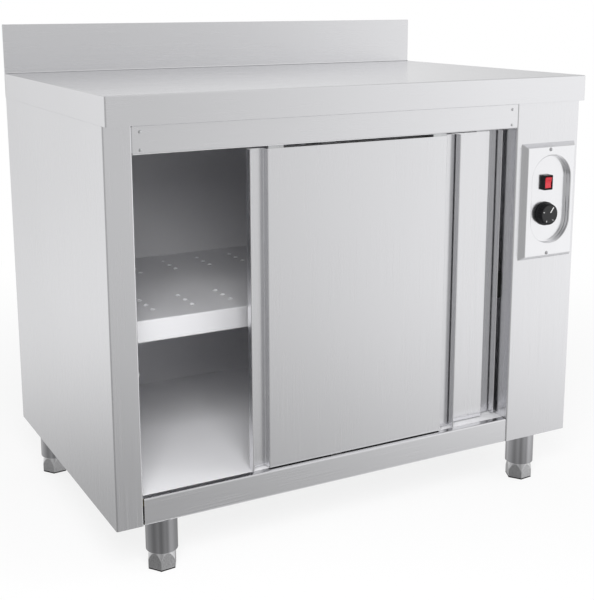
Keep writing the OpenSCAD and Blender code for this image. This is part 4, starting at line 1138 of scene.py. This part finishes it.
@dataclass
class Knob:
    """Round fluted knob with a skirt, a grey face, a white pointer and three small marks."""

    finishes: Finishes
    skirt: float = 4.0
    taper: float = 1.5
    flutes: int = 32
    flute_depth: float = 1.1
    face_r: float = 18.6
    pointer: float = 36.0
    marks: tuple[float, ...] = (142.0, 206.0, 290.0)

    def build(self) -> None:
        """Builds the knob and its face and marks, and finishes the shaft behind it."""
        settle(self.grip_shape().to_object("knob_grip", 40), "knob",
               self.finishes.black, ["knob"])
        settle(self.face_shape().to_object("knob_face"), "knob", self.finishes.dial)
        settle(self.mark_shape().to_object("knob_pointer"), "knob", self.finishes.print)
        keep("thermostat_shaft", self.finishes.zinc)

    def middle(self) -> tuple[Array, float, float]:
        """Where the knob stands.

        Returns:
            Centre of the knob's foot, its radius and its length.
        """
        low, high = box_of("knob")
        centre = np.array([(low[0] + high[0]) / 2, high[1], (low[2] + high[2]) / 2])
        return centre, (high[0] - low[0]) / 2, high[1] - low[1]

    def grip_shape(self) -> Shape:
        """The grip: its radius at height h and angle a is the profile's radius less the flute's depth
        times cos(flutes a)² where that cosine is positive, faded out at the skirt and the rim.

        Returns:
            The closed grip.
        """
        centre, r, length = self.middle()
        grip, skirt = r - 1, self.skirt
        rim = grip - self.taper
        profile = np.array([
            (0, r - 0.7), (0.3, r - 0.2), (0.9, r), (3.2, r), (3.8, r - 0.3), (skirt, r - 0.9),
            (skirt + 0.3, grip), (skirt + 0.9, grip - 0.1), (7.5, grip - 0.5), (10.0, grip - 0.8),
            (12.4, rim), (13.2, rim - 0.1), (length - 0.9, rim - 0.25), (length - 0.4, rim - 0.7),
            (length - 0.1, rim - 1.2), (length, rim - 1.8), (length, self.face_r + 0.3),
            (length - 0.35, self.face_r)])
        h, radius = profile.T
        deep = np.interp(h, [skirt, skirt + 0.9, length - 0.9, length - 0.1], [0, 1, 1, 0.7])
        deep[-3:] = 0
        angle = np.linspace(0, FULL_TURN, self.flutes * 10, endpoint=False)
        flute = np.maximum(np.cos(self.flutes * angle), 0) ** 2
        radius = radius[:, None] - self.flute_depth * deep[:, None] * flute[None, :]
        points = np.zeros((*radius.shape, 3))
        points[..., 0] = centre[0] + radius * np.sin(angle)
        points[..., 1] = centre[1] - h[:, None]
        points[..., 2] = centre[2] + radius * np.cos(angle)
        shape = Shape()
        shape.loft(points)
        return shape

    def face_shape(self) -> Shape:
        """The grey disc that is let into the grip's front.

        Returns:
            The disc.
        """
        centre, _, length = self.middle()
        profile = np.array([[0, length - 0.5], [self.face_r - 0.05, length - 0.5],
                            [self.face_r - 0.05, length - 0.2], [self.face_r - 0.3, length - 0.06],
                            [self.face_r - 0.7, length - 0.02], [0, length - 0.02]])
        shape = Shape()
        shape.turned(profile, centre, (0, -1, 0), 72)
        return shape

    def mark_shape(self) -> Shape:
        """Thin bars on the face: the pointer, and short marks near the rim.

        Returns:
            All bars.
        """
        shape = Shape()
        self.bar(shape, self.pointer, 4.0, self.face_r - 1.2, 1.5)
        for turn in self.marks:
            self.bar(shape, turn, self.face_r - 4.6, self.face_r - 1.8, 1.1)
        return shape

    def bar(self, shape: Shape, turn: float, start: float, end: float, width: float) -> None:
        """Adds a bar with rounded ends that lies along a ray of the face.

        Args:
            shape: shape that the bar goes into.
            turn: direction of the ray, in degrees clockwise from the top.
            start: distance of its inner end from the middle.
            end: distance of its outer end.
            width: width of the bar.
        """
        centre, _, length = self.middle()
        loop = rounded_box_loop(width, end - start, width * 0.49, 5) + [0, (start + end) / 2]
        a = radians(turn)
        across = loop[:, 0] * np.cos(a) + loop[:, 1] * np.sin(a)
        up = loop[:, 1] * np.cos(a) - loop[:, 0] * np.sin(a)
        points = np.zeros((2, len(loop), 3))
        points[..., 0], points[..., 2] = centre[0] + across, centre[2] + up
        points[..., 1] = centre[1] - length + np.array([[0.3], [-0.06]])
        shape.loft(points)


@dataclass
class Bumpers:
    """Rubber bumper on the jamb, and the light buffers beside the left post and in the track."""

    finishes: Finishes

    def build(self) -> None:
        """Builds the bumper and the buffers."""
        settle(self.jamb_shape().to_object("jamb_bumper_rubber"), "cabinet",
               self.finishes.rubber, ["jamb_bumper"])
        settle(smooth_copy("door_buffers"), "cabinet", self.finishes.nylon, ["door_buffers"])
        settle(smooth_copy("floor_guide"), "cabinet", self.finishes.nylon, ["floor_guide"])

    def jamb_shape(self) -> Shape:
        """Round-ended strip with a rounded face: at an angle a of the round the outline is drawn in by
        r (1 - cos a) and stands r (1 - sin a) behind the front.

        Returns:
            The closed strip.
        """
        low, high = box_of("jamb_bumper")
        w, h = (high - low)[1], (high - low)[2]
        angles = np.linspace(0, FULL_TURN, 72, endpoint=False)
        turn = np.linspace(0, np.pi / 2, 7)
        r = 1.8
        rings = [(0.0, high[0]), *[(r * (1 - np.cos(a)), low[0] + r * (1 - np.sin(a))) for a in turn]]
        loops = [np.insert(slot_loop(w - 2 * d, h - 2 * d, angles) + (low + high)[1:] / 2, 0, x, axis=1)
                 for d, x in rings]
        shape = Shape()
        shape.loft(np.array(loops))
        return shape


@dataclass
class Casing:
    """Sheets, rails and fixings of the cabinet whose shape in the model is right: a smooth copy of
    what is seen, and a finish on what is hidden."""

    finishes: Finishes

    def build(self) -> None:
        """Finishes the casing, sheet by sheet."""
        f = self.finishes
        seen: list[tuple[str, Slot, bpy.types.Material]] = [
            ("left_side_panel", Slot.STEEL, f.steel_z), ("right_side_panel", Slot.STEEL, f.steel_z),
            ("column_front", Slot.STEEL, f.steel_z), ("header_rail", Slot.STEEL, f.steel_x),
            ("bottom_rail", Slot.STEEL, f.steel_x), ("shelf", Slot.STEEL, f.inner),
            # The floor and rear liners take lighter copies of the inner steel, which are painted light.
            ("floor_liner", Slot.STEEL, f.floor_painted_light), ("rear_liner", Slot.STEEL, f.back_painted_light),
            ("left_liner", Slot.STEEL, f.inner), ("partition", Slot.STEEL, f.inner),
            ("ceiling_liner", Slot.STEEL, f.inner), ("rear_panel", Slot.GALVANISED, f.galvanised),
            ("top_track", Slot.ALUMINIUM, f.zinc), ("shelf_supports", Slot.GALVANISED, f.zinc),
            ("header_rivets", Slot.STEEL, f.zinc), ("cable_gland", Slot.BLACK_PLASTIC, f.black)]
        for node, slot, finish in seen:
            settle(smooth_copy(node), "cabinet", finish, [node])
        hidden = {"base_tray": f.galvanised, "leg_fixings": f.zinc, "left_insulation": f.wool,
                  "rear_insulation": f.wool, "ceiling_insulation": f.wool, "floor_insulation": f.wool}
        for node, finish in hidden.items():
            keep(node, finish)


@dataclass
class ShelfRims:
    """Rims pressed up round the holes of the shelf, which stand in two bands of short columns."""

    finishes: Finishes
    columns: int = 9
    pitch_x: float = 78.5
    pitch_y: float = 35.0
    band: float = 137.5
    inner_r: float = 3.9
    width: float = 1.7
    rise: float = 0.9
    sheet: float = 1.0

    def build(self) -> None:
        """Builds the rims."""
        settle(self.rim_shape().to_object("shelf_hole_rims"), "cabinet", self.finishes.inner)

    def rim_shape(self) -> Shape:
        """One ring for each hole, turned from an upright inner wall, a half ellipse over the sheet and a
        foot that is let into the sheet.

        Returns:
            All rings.
        """
        low, high = box_of("shelf")
        x = (np.arange(self.columns) - (self.columns - 1) / 2) * self.pitch_x
        y = (np.array([[-1.0], [1.0]]) * self.band + np.array([-1.0, 0.0, 1.0]) * self.pitch_y).ravel()
        places = np.stack(np.meshgrid(x, y), -1).reshape(-1, 2) + (low + high)[:2] / 2
        turn = np.linspace(0, np.pi, 7)
        dome = np.stack([self.inner_r + self.width / 2 * (1 - np.cos(turn)), self.rise * np.sin(turn)], -1)
        deep = 0.05 - self.sheet
        profile = np.vstack([[[self.inner_r, deep]], dome, [[self.inner_r + self.width, deep]]])
        shape = Shape()
        for place in places:
            shape.turned(profile, (*place, high[2]), (0, 0, 1), 24, ring=True)
        return shape


@dataclass
class Heater:
    """Thermostat, element, fan and wiring inside the column, which keep the model's shapes."""

    finishes: Finishes

    def build(self) -> None:
        """Finishes the pieces inside the column."""
        f = self.finishes
        inside = {"thermostat": f.ivory, "thermostat_probe": f.copper, "air_duct": f.galvanised,
                  "heater_element": f.dark_steel, "fan_motor": f.paint, "terminal_block": f.ivory,
                  "wiring_loom": f.rubber, "fan_impeller": f.zinc}
        for node, finish in inside.items():
            keep(node, finish)


def keep(node: str, finish: bpy.types.Material) -> None:
    """Gives a node of the model, which stays as it is, its finish.

    Args:
        node: name of the node.
        finish: its material.
    """
    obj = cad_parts[node]
    if not obj.material_slots:
        obj.data.materials.append(finish)
    for place in obj.material_slots:
        place.material = finish
    log.info("%s keeps the model's shape", node)


# ---------- studio ----------


@dataclass
class Studio:
    """Camera of the photograph, a pale floor and plain soft light."""

    lens: float = 66.33
    shift: tuple[float, float] = (0.0029, -0.12)
    place: tuple[float, float, float] = (-1.0594, -2.0033, 0.9969)
    turn: tuple[float, float, float] = (78.373, 0.122, -28.179)
    floor_half: float = 6.0
    floor_tone: float = 0.82
    # distances from the middle at which the floor starts and ends going over into white, in metres
    fade: tuple[float, float] = (0.6, 2.2)
    room_light: float = 1.15
    # brightness of the room round the object, by direction in degrees from the front towards the right
    round_light: tuple[tuple[float, float], ...] = (
        (-180, 0.607), (-170, 0.536), (-161, 0.875), (-150, 0.875), (-135, 0.714), (-110, 0.589),
        (-92, 0.446), (-74, 0.321), (-56, 0.50), (-42, 0.518), (-28, 0.304), (-14, 0.429), (0, 0.589),
        (12, 0.589), (22, 0.518), (31, 0.76), (40, 1.0), (52, 1.0), (62, 1.0), (85, 0.76), (115, 0.714),
        (137, 0.554), (151, 0.893), (165, 0.821), (180, 0.607))
    # factor on it by height, as the sine of the elevation
    height_light: tuple[tuple[float, float], ...] = (
        (-1.0, 0.86), (-0.66, 0.84), (-0.54, 0.62), (-0.43, 0.30), (-0.35, 0.78), (-0.28, 1.0),
        (-0.18, 0.90), (-0.08, 0.88), (0.06, 1.0), (0.3, 0.94), (0.6, 0.72), (1.0, 0.76))

    def build(self) -> None:
        """Builds the camera, the world, the floor and the lamps."""
        self.camera()
        self.world()
        self.floor()
        self.lamp("key_softbox", (-1.6, -2.2, 2.6), (0.0, 0.0, 0.5), 1.8, 22.0)
        self.lamp("fill_softbox", (2.4, -1.6, 2.2), (0.2, 0.0, 0.5), 1.6, 14.0)
        self.lamp("opening_softbox", (-0.85, -1.7, 1.58), (-0.33, 0.1, 0.4), 1.0, 38.0)
        bpy.context.scene.view_settings.view_transform = "Standard"

    def camera(self) -> None:
        """Makes the camera of the photograph."""
        data = bpy.data.cameras.new("photo_camera")
        data.lens, data.sensor_width = self.lens, 36.0
        data.shift_x, data.shift_y = self.shift
        data.clip_start, data.clip_end = 0.05, 60.0
        obj = bpy.data.objects.new("photo_camera", data)
        obj.location = self.place
        obj.rotation_euler = [radians(a) for a in self.turn]
        bpy.context.scene.collection.objects.link(obj)
        bpy.context.scene.camera = obj

    def lamp(self, name: str, place: Sequence[float], target: Sequence[float], size: float,
             power: float) -> None:
        """Adds a square area lamp that faces a point. Shiny surfaces mirror the room and not the lamps.

        Args:
            name: name of the lamp.
            place: its place in metres.
            target: point that it faces.
            size: length of its side in metres.
            power: its power in watts.
        """
        data = bpy.data.lights.new(name, "AREA")
        data.shape, data.size, data.energy = "SQUARE", size, power
        obj = bpy.data.objects.new(name, data)
        obj.location = place
        away = np.asarray(place, float) - np.asarray(target, float)
        flat = np.hypot(away[0], away[1])
        obj.rotation_euler = (np.arctan2(flat, away[2]), 0.0, np.arctan2(away[0], -away[1]))
        obj.visible_glossy = False
        bpy.context.scene.collection.objects.link(obj)

    def world(self) -> None:
        """Makes the room: white where the camera looks past the object, and elsewhere a brightness that
        depends on direction and height, as between the soft boxes of a studio. A ramp holds no value
        over one, so the room's light is raised on the background's strength."""
        world = bpy.data.worlds.new("studio_room")
        bpy.context.scene.world = world
        world.use_nodes = True
        tree = world.node_tree
        tree.nodes.clear()
        link = tree.links.new
        way = tree.nodes.new("ShaderNodeTexCoord")
        parts = tree.nodes.new("ShaderNodeSeparateXYZ")
        link(way.outputs["Generated"], parts.inputs[0])
        ahead = self.number(tree, "MULTIPLY", parts.outputs["Y"], -1.0)
        angle = self.number(tree, "ARCTAN2", parts.outputs["X"], ahead)
        around = self.ramp(tree, self.number(tree, "MULTIPLY_ADD", angle, 1 / FULL_TURN, 0.5),
                           [((a + 180) / 360, v) for a, v in self.round_light])
        height = self.ramp(tree, self.number(tree, "MULTIPLY_ADD", parts.outputs["Z"], 0.5, 0.5),
                           [((s + 1) / 2, v) for s, v in self.height_light])
        room = self.number(tree, "MULTIPLY", around, height)
        path = tree.nodes.new("ShaderNodeLightPath")
        mix = tree.nodes.new("ShaderNodeMix")
        link(path.outputs["Is Camera Ray"], mix.inputs["Factor"])
        link(room, mix.inputs["A"])
        mix.inputs["B"].default_value = 1.0 / self.room_light
        light = tree.nodes.new("ShaderNodeBackground")
        light.inputs["Strength"].default_value = self.room_light
        link(mix.outputs["Result"], light.inputs["Color"])
        out = tree.nodes.new("ShaderNodeOutputWorld")
        link(light.outputs[0], out.inputs[0])

    def floor(self) -> None:
        """Makes the floor: a pale plane that keeps the object's soft shadow near its middle and goes
        over into the white of the room. Reflections look through it into the room."""
        side = np.linspace(-self.floor_half, self.floor_half, 3) / MM
        points = np.zeros((3, 3, 3))
        points[..., 0], points[..., 1], points[..., 2] = side[None, :], side[:, None], -0.3
        shape = Shape()
        shape.grid(points)
        obj = shape.to_object("studio_floor")
        obj.modifiers.clear()
        material = bpy.data.materials.new("studio_floor_paper")
        material.use_nodes = True
        tree = material.node_tree
        tree.nodes.clear()
        link = tree.links.new
        paper = tree.nodes.new("ShaderNodeBsdfDiffuse")
        paper.inputs["Color"].default_value = (self.floor_tone,) * 3 + (1.0,)
        white = tree.nodes.new("ShaderNodeEmission")
        clear = tree.nodes.new("ShaderNodeBsdfTransparent")
        path = tree.nodes.new("ShaderNodeLightPath")
        place = tree.nodes.new("ShaderNodeTexCoord")
        reach = tree.nodes.new("ShaderNodeVectorMath")
        reach.operation = "LENGTH"
        link(place.outputs["Object"], reach.inputs[0])
        fade = tree.nodes.new("ShaderNodeMapRange")
        fade.interpolation_type = "SMOOTHSTEP"
        for key, value in (("From Min", self.fade[0]), ("From Max", self.fade[1]),
                           ("To Min", self.floor_tone), ("To Max", 1.0)):
            fade.inputs[key].default_value = value
        link(reach.outputs["Value"], fade.inputs["Value"])
        lit = tree.nodes.new("ShaderNodeMixShader")
        link(self.number(tree, "MULTIPLY", fade.outputs[0], path.outputs["Is Camera Ray"]), lit.inputs[0])
        link(paper.outputs[0], lit.inputs[1])
        link(white.outputs[0], lit.inputs[2])
        through = tree.nodes.new("ShaderNodeMixShader")
        seen_through = self.number(tree, "MAXIMUM", path.outputs["Is Glossy Ray"],
                                   path.outputs["Is Transmission Ray"])
        link(seen_through, through.inputs[0])
        link(lit.outputs[0], through.inputs[1])
        link(clear.outputs[0], through.inputs[2])
        out = tree.nodes.new("ShaderNodeOutputMaterial")
        link(through.outputs[0], out.inputs[0])
        obj.data.materials.append(material)

    @staticmethod
    def number(tree: bpy.types.NodeTree, operation: str, *values: bpy.types.NodeSocket | float
               ) -> bpy.types.NodeSocket:
        """Adds a sum to a node tree.

        Args:
            tree: tree that it goes into.
            operation: name of the operation.
            values: sockets or constants that it takes.

        Returns:
            The result's socket.
        """
        node = tree.nodes.new("ShaderNodeMath")
        node.operation = operation
        for place, value in zip(node.inputs, values):
            if isinstance(value, float):
                place.default_value = value
            else:
                tree.links.new(value, place)
        return node.outputs[0]

    @staticmethod
    def ramp(tree: bpy.types.NodeTree, value: bpy.types.NodeSocket,
             stops: Sequence[tuple[float, float]]) -> bpy.types.NodeSocket:
        """Adds a smooth ramp through brightness stops.

        Args:
            tree: tree that it goes into.
            value: where the ramp is read, from 0 to 1.
            stops: places and brightnesses.

        Returns:
            The brightness.
        """
        node = tree.nodes.new("ShaderNodeValToRGB")
        node.color_ramp.interpolation = "B_SPLINE"
        while len(node.color_ramp.elements) < len(stops):
            node.color_ramp.elements.new(0.5)
        for element, (place, level) in zip(node.color_ramp.elements, stops):
            element.position = place
            element.color = (level, level, level, 1.0)
        tree.links.new(value, node.inputs[0])
        return node.outputs[0]


def main() -> None:
    """Builds the studio and the cabinet's sub-assemblies."""
    logging.basicConfig(level=logging.INFO, format="%(name)s: %(message)s")
    Studio().build()
    finishes = Finishes()
    Worktop(finishes).build()
    Casing(finishes).build()
    ShelfRims(finishes).build()
    for side in ("front", "rear"):
        SlidingDoor(side, finishes).build()
    for corner in ("front_left", "front_right", "rear_left", "rear_right"):
        Foot(corner, finishes).build()
    ControlPlate(finishes).build()
    Switch(finishes).build()
    Knob(finishes).build()
    Bumpers(finishes).build()
    Heater(finishes).build()


if __name__ == "__main__":
    main()
